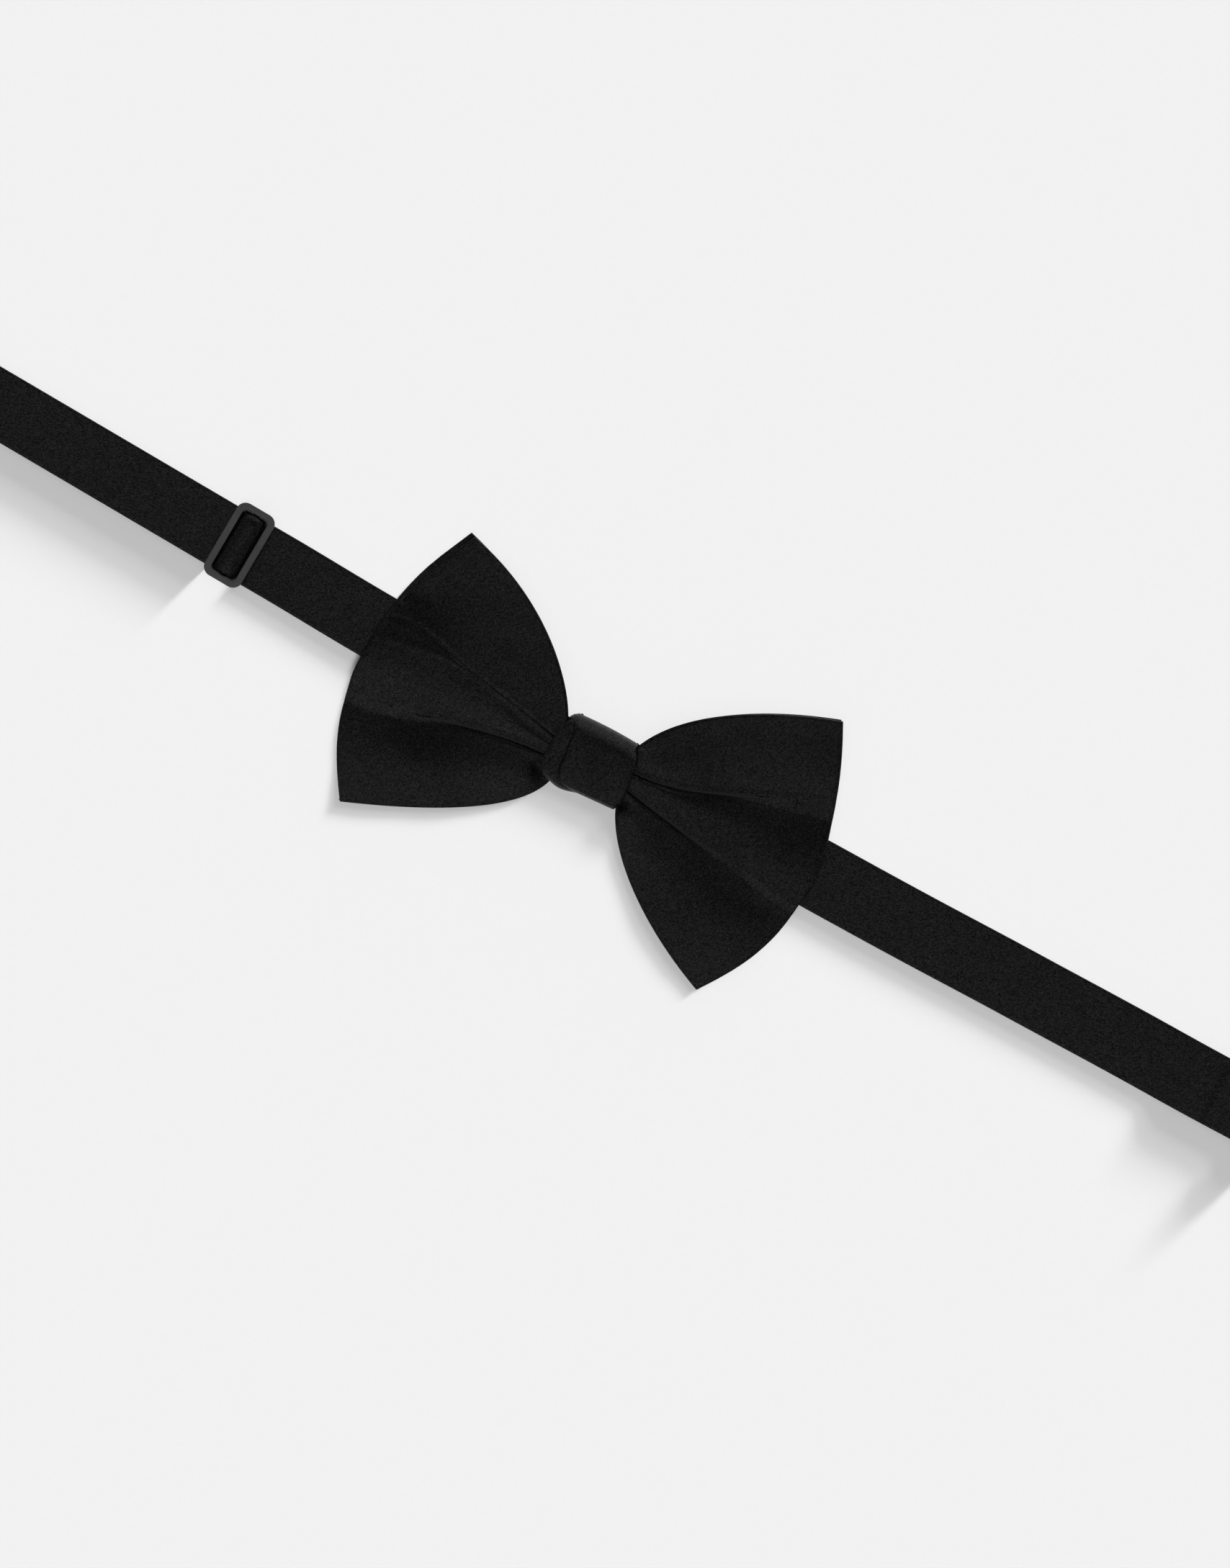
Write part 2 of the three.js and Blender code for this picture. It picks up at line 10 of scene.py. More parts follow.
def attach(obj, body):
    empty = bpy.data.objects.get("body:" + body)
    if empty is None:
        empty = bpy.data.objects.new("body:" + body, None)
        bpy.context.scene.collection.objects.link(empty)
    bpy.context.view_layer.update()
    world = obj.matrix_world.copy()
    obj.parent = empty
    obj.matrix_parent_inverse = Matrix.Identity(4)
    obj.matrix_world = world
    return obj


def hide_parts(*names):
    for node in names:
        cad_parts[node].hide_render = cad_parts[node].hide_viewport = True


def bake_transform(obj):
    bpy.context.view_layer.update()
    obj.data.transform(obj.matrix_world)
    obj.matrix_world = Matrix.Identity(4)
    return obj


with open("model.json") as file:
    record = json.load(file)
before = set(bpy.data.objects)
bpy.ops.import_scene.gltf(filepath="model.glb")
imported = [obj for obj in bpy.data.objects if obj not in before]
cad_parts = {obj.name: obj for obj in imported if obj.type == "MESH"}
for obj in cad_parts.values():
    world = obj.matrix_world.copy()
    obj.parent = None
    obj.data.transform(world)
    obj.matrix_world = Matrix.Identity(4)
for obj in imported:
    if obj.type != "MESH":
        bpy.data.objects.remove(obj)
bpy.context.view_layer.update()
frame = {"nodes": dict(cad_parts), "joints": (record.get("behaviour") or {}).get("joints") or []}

MM = 0.001
UP = Vector((0, 0, 1))


# ---- Small maths ----

def lerp(a, b, t):
    return a + (b - a) * t


def smooth(t):
    t = min(max(t, 0.0), 1.0)
    return t * t * (3 - 2 * t)


def between(value, low, high):
    """0 below low, 1 above high, and a smooth step between them."""
    return smooth((value - low) / (high - low))


def bezier(points, t):
    a, b, c, d = (Vector(p) for p in points)
    s = 1 - t
    return a * s ** 3 + b * 3 * s * s * t + c * 3 * s * t * t + d * t ** 3


def through(keys, at):
    """A smooth value through (place, value) keys in rising order of place."""
    if at <= keys[0][0]:
        return keys[0][1]
    if at >= keys[-1][0]:
        return keys[-1][1]
    place = next(i for i in range(len(keys) - 1) if at <= keys[i + 1][0])
    around = [keys[max(place - 1, 0)], keys[place], keys[place + 1], keys[min(place + 2, len(keys) - 1)]]
    slopes = [(around[i + 2][1] - around[i][1]) / (around[i + 2][0] - around[i][0]) for i in (0, 1)]
    (x0, y0), (x1, y1) = around[1:3]
    span = x1 - x0
    t = (at - x0) / span
    h1 = 2 * t ** 3 - 3 * t * t + 1
    h2 = (t ** 3 - 2 * t * t + t) * span
    h4 = (t ** 3 - t * t) * span
    return y0 * h1 + slopes[0] * h2 + y1 * (1 - h1) + slopes[1] * h4


def spline(points, per_segment):
    """Points on a centripetal Catmull-Rom curve through the given points."""
    first = points[0] * 2 - points[1]
    last = points[-1] * 2 - points[-2]
    ends = [first, *points, last]
    result = []
    for a, b, c, d in zip(ends, ends[1:], ends[2:], ends[3:]):
        ta = max((b - a).length, 1e-5) ** 0.5
        tb = max((c - b).length, 1e-5) ** 0.5
        tc = max((d - c).length, 1e-5) ** 0.5
        into = ((b - a) / ta - (c - a) / (ta + tb) + (c - b) / tb) * tb
        out = ((c - b) / tb - (d - b) / (tb + tc) + (d - c) / tc) * tb
        for step in range(per_segment):
            t = step / per_segment
            h1 = 2 * t ** 3 - 3 * t * t + 1
            h2 = t ** 3 - 2 * t * t + t
            h3 = 3 * t * t - 2 * t ** 3
            h4 = t ** 3 - t * t
            result.append(b * h1 + into * h2 + c * h3 + out * h4)
    result.append(points[-1].copy())
    return result


# ---- Mesh building, in millimetres ----

def mesh_object(name, vertices, faces, material, place=Matrix.Identity(4)):
    mesh = bpy.data.meshes.new(name)
    mesh.from_pydata([place @ (v * MM) for v in vertices], [], faces)
    piece = bpy.data.objects.new(name, mesh)
    bpy.context.scene.collection.objects.link(piece)
    shape = bmesh.new()
    shape.from_mesh(mesh)
    bmesh.ops.recalc_face_normals(shape, faces=shape.faces)
    shape.to_mesh(mesh)
    shape.free()
    mesh.polygons.foreach_set("use_smooth", [True] * len(mesh.polygons))
    mesh.materials.append(material)
    return piece


def grid_faces(columns, rows, wrap_columns=False, wrap_rows=False):
    faces = []
    for i in range(columns if wrap_columns else columns - 1):
        for j in range(rows if wrap_rows else rows - 1):
            k = (i + 1) % columns
            l = (j + 1) % rows
            faces.append((i * rows + j, k * rows + j, k * rows + l, i * rows + l))
    return faces


def sheet_object(name, columns, material, place=Matrix.Identity(4)):
    """An open sheet from columns of points."""
    vertices = [point for column in columns for point in column]
    return mesh_object(name, vertices, grid_faces(len(columns), len(columns[0])), material, place)


def solid_object(name, rings, material, place=Matrix.Identity(4), closed=False):
    """A closed solid through rings of points, with ends capped unless the rings close on themselves."""
    size = len(rings[0])
    faces = grid_faces(len(rings), size, wrap_columns=closed, wrap_rows=True)
    if not closed:
        start = (len(rings) - 1) * size
        faces.append(tuple(reversed(range(size))))
        faces.append(tuple(range(start, start + size)))
    vertices = [point for ring in rings for point in ring]
    return mesh_object(name, vertices, faces, material, place)


def thicken(piece, thickness):
    """Gives an open sheet its thickness, below its upper side, with a rim."""
    solidify = piece.modifiers.new("thickness", "SOLIDIFY")
    solidify.thickness = thickness * MM
    solidify.offset = -1
    solidify.use_rim = True
    solidify.use_even_offset = False
    return piece


# ---- Node materials ----

def new_material(name, colour):
    material = bpy.data.materials.new(name)
    material.use_nodes = True
    material.diffuse_color = (*colour, 1)
    nodes = material.node_tree.nodes
    return material, nodes, material.node_tree.links, nodes["Principled BSDF"]


def node(nodes, kind, **inputs):
    made = nodes.new(kind)
    for key, value in inputs.items():
        made.inputs[key.replace("_", " ")].default_value = value
    return made


def maths(nodes, links, operation, a, b):
    made = nodes.new("ShaderNodeMath")
    made.operation = operation
    for index, value in enumerate((a, b)):
        if isinstance(value, (int, float)):
            made.inputs[index].default_value = value
        else:
            links.new(value, made.inputs[index])
    return made.outputs[0]


def float_cells(nodes, links, where, angle, length, width):
    """Random values in long narrow cells: the floats of a satin weave, turned by an angle."""
    turned = nodes.new("ShaderNodeMapping")
    turned.vector_type = "TEXTURE"
    turned.inputs["Rotation"].default_value = (0, 0, math.radians(angle))
    turned.inputs["Scale"].default_value = (length * MM, width * MM, width * MM)
    links.new(where, turned.inputs["Vector"])
    cells = nodes.new("ShaderNodeTexVoronoi")
    cells.inputs["Scale"].default_value = 1
    cells.inputs["Randomness"].default_value = 0.85
    links.new(turned.outputs[0], cells.inputs["Vector"])
    parts = nodes.new("ShaderNodeSeparateColor")
    links.new(cells.outputs["Color"], parts.inputs[0])
    return parts.outputs[0], cells.outputs["Distance"]


def ranged(nodes, links, value, source, target):
    made = nodes.new("ShaderNodeMapRange")
    for name, number in zip(("From Min", "From Max", "To Min", "To Max"), (*source, *target)):
        made.inputs[name].default_value = number
    links.new(value, made.inputs[0])
    return made.outputs[0]


FLOAT_LENGTH = 0.31
FLOAT_WIDTH = 0.17
SATIN_SHINE = 0.163


def satin(name, tone, angle, roughness=0.26):
    """Black satin: uneven floats, a few bright fibre glints painted into the colour, and slow changes of
    tone.
    """
    material, nodes, links, shader = new_material(name, (tone, tone, tone))
    where = nodes.new("ShaderNodeTexCoord").outputs["Object"]
    long_float, long_dip = float_cells(nodes, links, where, angle, FLOAT_LENGTH, FLOAT_WIDTH)
    short_size = (FLOAT_LENGTH * 0.55, FLOAT_WIDTH * 0.8)
    short_float, short_dip = float_cells(nodes, links, where, angle + 64, *short_size)
    fine = node(nodes, "ShaderNodeTexNoise", Scale=3800.0, Detail=2.0, Roughness=0.6)
    links.new(where, fine.inputs["Vector"])
    slow = node(nodes, "ShaderNodeTexNoise", Scale=90.0, Detail=4.0, Roughness=0.55)
    links.new(where, slow.inputs["Vector"])

    weave = maths(nodes, links, "MULTIPLY", long_float, short_float)
    pale = ranged(nodes, links, weave, (0.0, 1.0), (0.02, 4.4))
    # The brightest float cells get extra colour: painted glints of stray fibres.
    painted_glint = ranged(nodes, links, weave, (0.75, 0.95), (0, 2.0))
    grain = ranged(nodes, links, fine.outputs[0], (0.3, 0.7), (0.75, 1.25))
    drift = ranged(nodes, links, slow.outputs[0], (0.3, 0.7), (0.86, 1.14))
    value = maths(nodes, links, "ADD", pale, painted_glint)
    value = maths(nodes, links, "MULTIPLY", value, grain)
    value = maths(nodes, links, "MULTIPLY", value, drift)

    tint = nodes.new("ShaderNodeMix")
    tint.data_type = "RGBA"
    tint.blend_type = "MULTIPLY"
    tint.inputs["Factor"].default_value = 1
    tint.inputs["A"].default_value = (tone * 1.05, tone * 0.97, tone, 1)
    links.new(value, tint.inputs["B"])
    links.new(tint.outputs["Result"], shader.inputs["Base Color"])

    gloss = ranged(nodes, links, long_float, (0, 1), (roughness + 0.06, roughness - 0.06))
    links.new(gloss, shader.inputs["Roughness"])
    mirror = ranged(nodes, links, long_float, (0, 1), (SATIN_SHINE * 0.45, SATIN_SHINE * 1.55))
    links.new(mirror, shader.inputs["Specular IOR Level"])

    height = maths(nodes, links, "ADD", long_dip, short_dip)
    bump = node(nodes, "ShaderNodeBump", Strength=0.5, Distance=0.00003)
    bump.invert = True
    links.new(height, bump.inputs["Height"])
    links.new(bump.outputs[0], shader.inputs["Normal"])
    return material


def plain_cloth(name, tone):
    """Charcoal non-woven interlining with matted fibres."""
    material, nodes, links, shader = new_material(name, (tone, tone, tone))
    where = nodes.new("ShaderNodeTexCoord").outputs["Object"]
    matted = node(nodes, "ShaderNodeTexNoise", Scale=1400.0, Detail=5.0, Roughness=0.7)
    links.new(where, matted.inputs["Vector"])
    ramp = nodes.new("ShaderNodeMapRange")
    ramp.inputs["To Min"].default_value = tone * 0.6
    ramp.inputs["To Max"].default_value = tone * 1.4
    links.new(matted.outputs[0], ramp.inputs[0])
    links.new(ramp.outputs[0], shader.inputs["Base Color"])
    shader.inputs["Roughness"].default_value = 0.9
    shader.inputs["Specular IOR Level"].default_value = 0.2
    bump = node(nodes, "ShaderNodeBump", Strength=0.6, Distance=0.00006)
    links.new(matted.outputs[0], bump.inputs["Height"])
    links.new(bump.outputs[0], shader.inputs["Normal"])
    return material


def twisted_thread(name, tone):
    """Sewing thread with its twist."""
    material, nodes, links, shader = new_material(name, (tone, tone, tone))
    where = nodes.new("ShaderNodeTexCoord").outputs["Object"]
    twist = nodes.new("ShaderNodeTexWave")
    twist.bands_direction = "DIAGONAL"
    twist.inputs["Scale"].default_value = 900
    links.new(where, twist.inputs["Vector"])
    ramp = nodes.new("ShaderNodeMapRange")
    ramp.inputs["To Min"].default_value = tone * 0.6
    ramp.inputs["To Max"].default_value = tone * 1.6
    links.new(twist.outputs["Fac"], ramp.inputs[0])
    links.new(ramp.outputs[0], shader.inputs["Base Color"])
    shader.inputs["Roughness"].default_value = 0.55
    shader.inputs["Specular IOR Level"].default_value = 0.12
    bump = node(nodes, "ShaderNodeBump", Strength=0.5, Distance=0.00005)
    links.new(twist.outputs["Fac"], bump.inputs["Height"])
    links.new(bump.outputs[0], shader.inputs["Normal"])
    return material


def gunmetal(name, tone):
    """Dark coated metal: fine grain, faint handling marks, and paler edges painted on as a highlight."""
    material, nodes, links, shader = new_material(name, (tone, tone, tone))
    where = nodes.new("ShaderNodeTexCoord").outputs["Object"]
    grain = node(nodes, "ShaderNodeTexNoise", Scale=2200.0, Detail=4.0, Roughness=0.6)
    links.new(where, grain.inputs["Vector"])
    marks = node(nodes, "ShaderNodeTexNoise", Scale=260.0, Detail=4.0, Roughness=0.65)
    links.new(where, marks.inputs["Vector"])
    # Pointiness picks out the sharp edges, which are lightened in the colour as a painted highlight along the
    # bevels.
    edge_highlight = nodes.new("ShaderNodeNewGeometry").outputs["Pointiness"]
    edge = nodes.new("ShaderNodeMapRange")
    edge.inputs["From Min"].default_value = 0.52
    edge.inputs["From Max"].default_value = 0.62
    links.new(edge_highlight, edge.inputs[0])
    level = nodes.new("ShaderNodeMapRange")
    level.inputs["From Min"].default_value = 0.3
    level.inputs["From Max"].default_value = 0.7
    level.inputs["To Min"].default_value = tone * 0.85
    level.inputs["To Max"].default_value = tone * 1.15
    links.new(marks.outputs[0], level.inputs[0])
    # Adds the painted edge highlight on top of the handling-mark tone.
    value = maths(nodes, links, "MULTIPLY_ADD", edge.outputs[0], tone * 0.5)
    links.new(level.outputs[0], value.node.inputs[2])
    links.new(value, shader.inputs["Base Color"])
    links.new(ranged(nodes, links, grain.outputs[0], (0.3, 0.7), (0.3, 0.55)), shader.inputs["Roughness"])
    shader.inputs["Metallic"].default_value = 0.0
    shader.inputs["Specular IOR Level"].default_value = 0.35
    bump = node(nodes, "ShaderNodeBump", Strength=0.25, Distance=0.00002)
    links.new(grain.outputs[0], bump.inputs["Height"])
    links.new(bump.outputs[0], shader.inputs["Normal"])
    return material


SATIN_TONE = 0.0049
wing_satin = satin("wing_satin", SATIN_TONE, 62)
back_satin = satin("back_satin", SATIN_TONE, 28)
knot_satin = satin("knot_satin", SATIN_TONE, 88, roughness=0.36)
strap_satin = satin("strap_satin", SATIN_TONE, 35)
interlining = plain_cloth("interlining", 0.025)
thread = twisted_thread("thread", 0.005)
dark_metal = gunmetal("gunmetal", 0.066)


def dress(body, nodes, piece):
    """Rides a piece on its body and hides the nodes it stands for."""
    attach(piece, body)
    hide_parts(*nodes)
    return piece


# ---- Sizes shared by the straps, the metal parts and the cloth above them ----

left_axis = Vector(frame["joints"][0]["axis"])
SPLAY = math.asin(-left_axis.y)
LEFT_PLACE = Matrix.Rotation(-SPLAY, 4, "Z")
RIGHT_PLACE = Matrix.Rotation(SPLAY, 4, "Z")

STRAP_THICKNESS = 0.9
LEFT_WIDTH = 16.4
NEAR_WIDTH = LEFT_WIDTH + 0.3
RIGHT_WIDTH = 17.6
WAIST_WIDTH = 9.6
WAIST_Z = 2.45
FLAT_Z = STRAP_THICKNESS / 2
UPPER_Z = FLAT_Z + STRAP_THICKNESS + 0.2
SLIDER_X = 100.95
WEAVE_REACH = 4.2
HOOK_BAR_X = 183
EYE_BAR_X = 190
FOLD_RADIUS = 1.35
RAMP_END = 40
BAR_Z = FLAT_Z + FOLD_RADIUS


# ---- Camera, lights and floor ----

FLOOR_TONE = 0.15
CAMERA_TILT = math.radians(29.45)
VIEW_CENTRE = Vector((8.25, -3.96, 0)) * MM
VIEW_LONG_SIDE = 385.5 * MM
LENS = 200
SENSOR = 36


def make_camera():
    data = bpy.data.cameras.new("camera")
    data.lens = LENS
    data.sensor_width = SENSOR
    data.clip_end = 50
    camera = bpy.data.objects.new("camera", data)
    distance = VIEW_LONG_SIDE * LENS / SENSOR
    camera.location = VIEW_CENTRE + UP * (distance + 1.5 * MM)
    camera.rotation_euler = (0, 0, CAMERA_TILT)
    bpy.context.scene.collection.objects.link(camera)
    bpy.context.scene.camera = camera


def make_world(levels, sides, ends):
    """A studio tent by height above the horizon. Each side says over which Y it comes in, its share
    there, between which two heights it changes, and how much is added at each of them; ends is how
    bright the two X ends are left."""
    world = bpy.data.worlds.new("studio")
    bpy.context.scene.world = world
    world.use_nodes = True
    nodes = world.node_tree.nodes
    links = world.node_tree.links
    where = nodes.new("ShaderNodeTexCoord").outputs["Generated"]
    axes = nodes.new("ShaderNodeSeparateXYZ")
    links.new(where, axes.inputs[0])
    ramp = nodes.new("ShaderNodeValToRGB")
    ramp.color_ramp.interpolation = "EASE"
    elements = ramp.color_ramp.elements
    while len(elements) < len(levels):
        elements.new(0.5)
    for element, (place, level) in zip(elements, levels):
        element.position = place
        element.color = (level, level, level, 1)
    links.new(axes.outputs["Z"], ramp.inputs[0])
    factor = 1
    for reach, share, heights, added in sides:
        side = ranged(nodes, links, axes.outputs["Y"], reach, share)
        change = ranged(nodes, links, axes.outputs["Z"], heights, added)
        factor = maths(nodes, links, "ADD", maths(nodes, links, "MULTIPLY", side, change), factor)
    towards_end = maths(nodes, links, "ABSOLUTE", axes.outputs["X"], 0)
    end_on = ranged(nodes, links, towards_end, (0.35, 0.7), (1, ends))
    factor = maths(nodes, links, "MULTIPLY", factor, end_on)
    strength = maths(nodes, links, "MULTIPLY", ramp.outputs[0], factor)
    links.new(strength, nodes["Background"].inputs["Strength"])
    nodes["Background"].inputs["Color"].default_value = (1, 1, 1, 1)


def make_sun(name, level, azimuth, elevation, spread):
    """A far light that gives a level surface the same light however low it stands."""
    data = bpy.data.lights.new(name, "SUN")
    data.energy = level / math.sin(math.radians(elevation))
    data.angle = math.radians(spread)
    sun = bpy.data.objects.new(name, data)
    tilt = math.radians(90 - elevation)
    sun.rotation_euler = (tilt, 0, math.radians(azimuth + 90))
    bpy.context.scene.collection.objects.link(sun)
    return sun


def only_on(light, receivers, blockers):
    """Limits what a light falls on and what casts a shadow in it."""
    for role, pieces in (("receiver", receivers), ("blocker", blockers)):
        group = bpy.data.collections.new(light.name + "_" + role)
        for piece in pieces:
            group.objects.link(piece)
        setattr(light.light_linking, role + "_collection", group)


def make_floor():
    half = 4000
    corners = [Vector((x, y, 0)) for x, y in ((-half, -half), (half, -half), (half, half), (-half, half))]
    material, nodes, links, shader = new_material("paper", (0.8, 0.8, 0.8))
    where = nodes.new("ShaderNodeTexCoord").outputs["Object"]
    tooth = node(nodes, "ShaderNodeTexNoise", Scale=900.0, Detail=2.0)
    links.new(where, tooth.inputs["Vector"])
    level = nodes.new("ShaderNodeMapRange")
    level.inputs["To Min"].default_value = FLOOR_TONE - 0.002
    level.inputs["To Max"].default_value = FLOOR_TONE + 0.002
    links.new(tooth.outputs[0], level.inputs[0])
    links.new(level.outputs[0], shader.inputs["Base Color"])
    shader.inputs["Roughness"].default_value = 0.9
    shader.inputs["Specular IOR Level"].default_value = 0
    floor = mesh_object("floor", corners, [(0, 1, 2, 3)], material)
    floor.location.z = -0.03 * MM
    return floor


make_camera()
TENT = ((0, 1.3), (0.2, 1.25), (0.45, 1.05), (0.68, 0.75), (0.85, 0.57), (1, 0.68))
FAR_SIDE = ((0, 0.34), (0, 1), (0.66, 0.82), (0.04, -0.97))
NEAR_SIDE = ((-0.34, 0), (1, 0), (0.48, 0.68), (-0.55, 0.44))
make_world(TENT, (FAR_SIDE, NEAR_SIDE), ends=0.3)
strap_windows = [
    make_sun("low_window", 4.7, 74, 6.7, 6),
    make_sun("wide_window", 3.0, 74, 11.5, 14),
]
ceiling = make_sun("ceiling", 1.55, 74, 80, 50)
blade_windows = [
    make_sun("high_window", 4.7, 74, 13, 9),
    make_sun("skylight", 3.0, 74, 22, 20),
]
floor = make_floor()
bpy.context.scene.view_settings.view_transform = "Standard"
bpy.context.scene.view_settings.look = "None"


# ---- Wings ----

U_KEYS = (0, 0.12, 0.3, 0.5, 0.68, 0.84, 1)


def along(values, u):
    return through(list(zip(U_KEYS, values)), u)


class Wing:
    """One wing in plan: its lower edge, two pleat lines and upper edge run from waist to outer end."""

    def __init__(self, bottom, lower, upper, top, end, end_places, crevices):
        self.lines = (bottom, lower, upper, top)
        self.crevices = crevices
        self.end = end
        self.end_places = (0, *end_places, 1)

    def line(self, index, u):
        return bezier(self.lines[index], u)

    def across(self, index, u):
        """The unit vector across a line, towards the upper edge."""
        step = self.line(index, min(u + 0.01, 1)) - self.line(index, max(u - 0.01, 0))
        side = Vector((-step.y, step.x)).normalized()
        return side if self.line(3, 0.5).y * side.y > 0 else -side

    def panel(self, index, fraction, u):
        """A point between line index and the next one, bowed to follow the outer end."""
        straight = lerp(self.line(index, u), self.line(index + 1, u), fraction)
        ends = lerp(self.line(index, 1), self.line(index + 1, 1), fraction)
        place = lerp(self.end_places[index], self.end_places[index + 1], fraction)
        return straight + (bezier(self.end, place) - ends) * u * u

    def beside(self, index, u, offset):
        """A point off a pleat line; towards the outer end it goes along the end's own curve."""
        place = self.end_places[index] + offset / END_LENGTH
        along_end = bezier(self.end, place) - bezier(self.end, self.end_places[index])
        square = self.across(index, u) * offset
        return self.line(index, u) + lerp(square, along_end, u ** 4)


END_LENGTH = 78
LEFT_END = ((-48.6, -41), (-60.3, -23.6), (-69, -7), (-51.6, 32))
RIGHT_END = ((50.5, -38.2), (61.1, -21.6), (71.3, -2.5), (49.5, 37))
LEFT_PLACES = (0.435, 0.67)
RIGHT_PLACES = (0.508, 0.825)


def end_point(end, place):
    return tuple(bezier(end, place))


def left_wing():
    return Wing(
        ((-5.8, -9.5), (-6.8, -20), (-25.1, -31.1), LEFT_END[0]),
        ((-8.5, -5.3), (-25, -6.6), (-40, -12.5), end_point(LEFT_END, LEFT_PLACES[0])),
        ((-8.5, -2.1), (-22, -0.7), (-43, 7.2), end_point(LEFT_END, LEFT_PLACES[1])),
        ((-9, 2.8), (-13.6, 13.4), (-29.8, 27.8), LEFT_END[3]),
        LEFT_END,
        LEFT_PLACES,
        ((1, -1), (2, 1)),
    )


def right_wing():
    return Wing(
        ((10.8, -8), (15, -18.9), (30.7, -30.8), RIGHT_END[0]),
        ((9.5, -2.9), (21, -5.3), (38, -7), end_point(RIGHT_END, RIGHT_PLACES[0])),
        ((9.3, 0.9), (27, 1.2), (33.5, 10), end_point(RIGHT_END, RIGHT_PLACES[1])),
        ((8, 4.5), (11.6, 18.3), (29.2, 29.6), RIGHT_END[3]),
        RIGHT_END,
        RIGHT_PLACES,
        ((1, -1), (2, -1)),
    )


def fold_rows(wing, index, u, half_width, tuck, low, high, over_is_above):
    """A step from a low panel up on to a high one, doubled back under it by the tuck.
    The high panel is the one above the line, or the one below it, and its edge lies on the line."""
    edge = step_edge(half_width, tuck)
    rows = []
    for step in range(-6, 7):
        t = step / 6
        offset = half_width * t - tuck * math.sin(math.pi * t) - edge
        level = lerp(low, high, smooth(0.5 + t * (0.5 + 0.5 * min(tuck, 1))))
        rows.append((offset, level))
    if not over_is_above:
        rows = [(-offset, level) for offset, level in reversed(rows)]
    return [(wing.beside(index, u, offset), level) for offset, level in rows]


def step_edge(half_width, tuck):
    """Where the high panel's edge falls in a step that is centred on its line."""
    return 0.4 * half_width - 0.95 * tuck


def panel_rows(wing, index, u, margins, keys):
    """Rows across one panel between its margins, from (fraction, level) keys."""
    low = wing.beside(index, u, margins[0]) if margins[0] else wing.line(index, u)
    high = wing.beside(index + 1, u, -margins[1]) if margins[1] else wing.line(index + 1, u)
    ends = [wing.panel(index, fraction, u) - lerp(wing.line(index, u), wing.line(index + 1, u), fraction)
            for fraction in (f for f, _ in keys)]
    return [(lerp(low, high, f) + bow, level) for (f, level), bow in zip(keys, ends)]


def side_keys(rim, crest, foot, steep=0.0):
    """Levels from a blade's edge over a puffed panel down to the foot of the next fold.
    A steep panel keeps its fall close to the foot."""
    return [
        (0, rim), (0.05, lerp(rim, crest, 0.2)), (0.22, lerp(rim, crest, 0.75)), (0.42, crest),
        (0.6, lerp(crest, foot, lerp(0.16, 0.1, steep))), (0.8, lerp(crest, foot, lerp(0.58, 0.38, steep))),
        (0.94, lerp(crest, foot, lerp(0.88, 0.78, steep))),
    ]


def mirrored(keys):
    return [(1 - fraction, level) for fraction, level in reversed(keys)]


def pleated_section(wing, u, levels, folds, upper_over):
    """Rows across a front blade; levels and folds hold their values along the wing."""
    z = {name: along(values, u) for name, values in levels.items()}
    low_half, low_tuck, high_half, high_tuck = (along(values, u) for values in folds)
    low_edge = step_edge(low_half, low_tuck)
    high_edge = step_edge(high_half, high_tuck)
    foot_margin = low_half + low_edge
    crest_margin = low_half - low_edge
    rows = panel_rows(wing, 0, u, (0, foot_margin), side_keys(z["low_rim"], z["low_crest"], z["low_foot"]))
    rows += fold_rows(wing, 1, u, low_half, low_tuck, z["low_foot"], z["middle_low"], True)
    near_margin = high_half + high_edge if upper_over else high_half - high_edge
    far_margin = high_half - high_edge if upper_over else high_half + high_edge
    middle = [(0.33, z["middle"]), (0.67, z["middle_rise"])]
    rows += panel_rows(wing, 1, u, (crest_margin, near_margin), middle)
    if upper_over:
        rows += fold_rows(wing, 2, u, high_half, high_tuck, z["middle_high"], z["high_foot"], True)
    else:
        rows += fold_rows(wing, 2, u, high_half, high_tuck, z["high_foot"], z["middle_high"], False)
    keys = mirrored(side_keys(z["high_rim"], z["high_crest"], z["high_foot"], 1))
    rows += panel_rows(wing, 2, u, (far_margin, 0), keys)
    return rows


LEFT_LEVELS = {
    "low_rim": (4.2, 3.8, 3.9, 3.8, 4.0, 3.7, 2.8),
    "low_crest": (5.7, 5.3, 5.0, 4.5, 4.5, 4.2, 3.3),
    "low_foot": (5.6, 4.9, 4.0, 2.8, 2.7, 2.9, 2.3),
    "middle_low": (6.4, 5.7, 4.8, 4.1, 3.6, 3.9, 3.4),
    "middle": (6.6, 6.1, 5.2, 4.4, 4.0, 4.4, 4.1),
    "middle_rise": (6.6, 6.2, 5.3, 4.55, 4.15, 4.7, 4.3),
    "middle_high": (6.6, 6.1, 5.2, 4.4, 3.9, 4.5, 4.0),
    "high_foot": (5.8, 5.5, 4.85, 4.0, 3.5, 3.1, 2.7),
    "high_crest": (5.7, 5.5, 4.9, 4.0, 3.2, 2.3, 1.5),
    "high_rim": (5.6, 5.6, 5.1, 4.3, 3.5, 2.7, 1.9),
}
LEFT_FOLDS = (
    (0.6, 0.7, 0.8, 0.9, 1.7, 2.2, 2.0),
    (1.0, 1.0, 0.95, 0.8, 0.15, 0, 0),
    (0.6, 0.7, 0.8, 1.0, 1.8, 3.4, 4.0),
    (1.0, 1.0, 0.9, 0.6, 0.2, 0, 0),
)
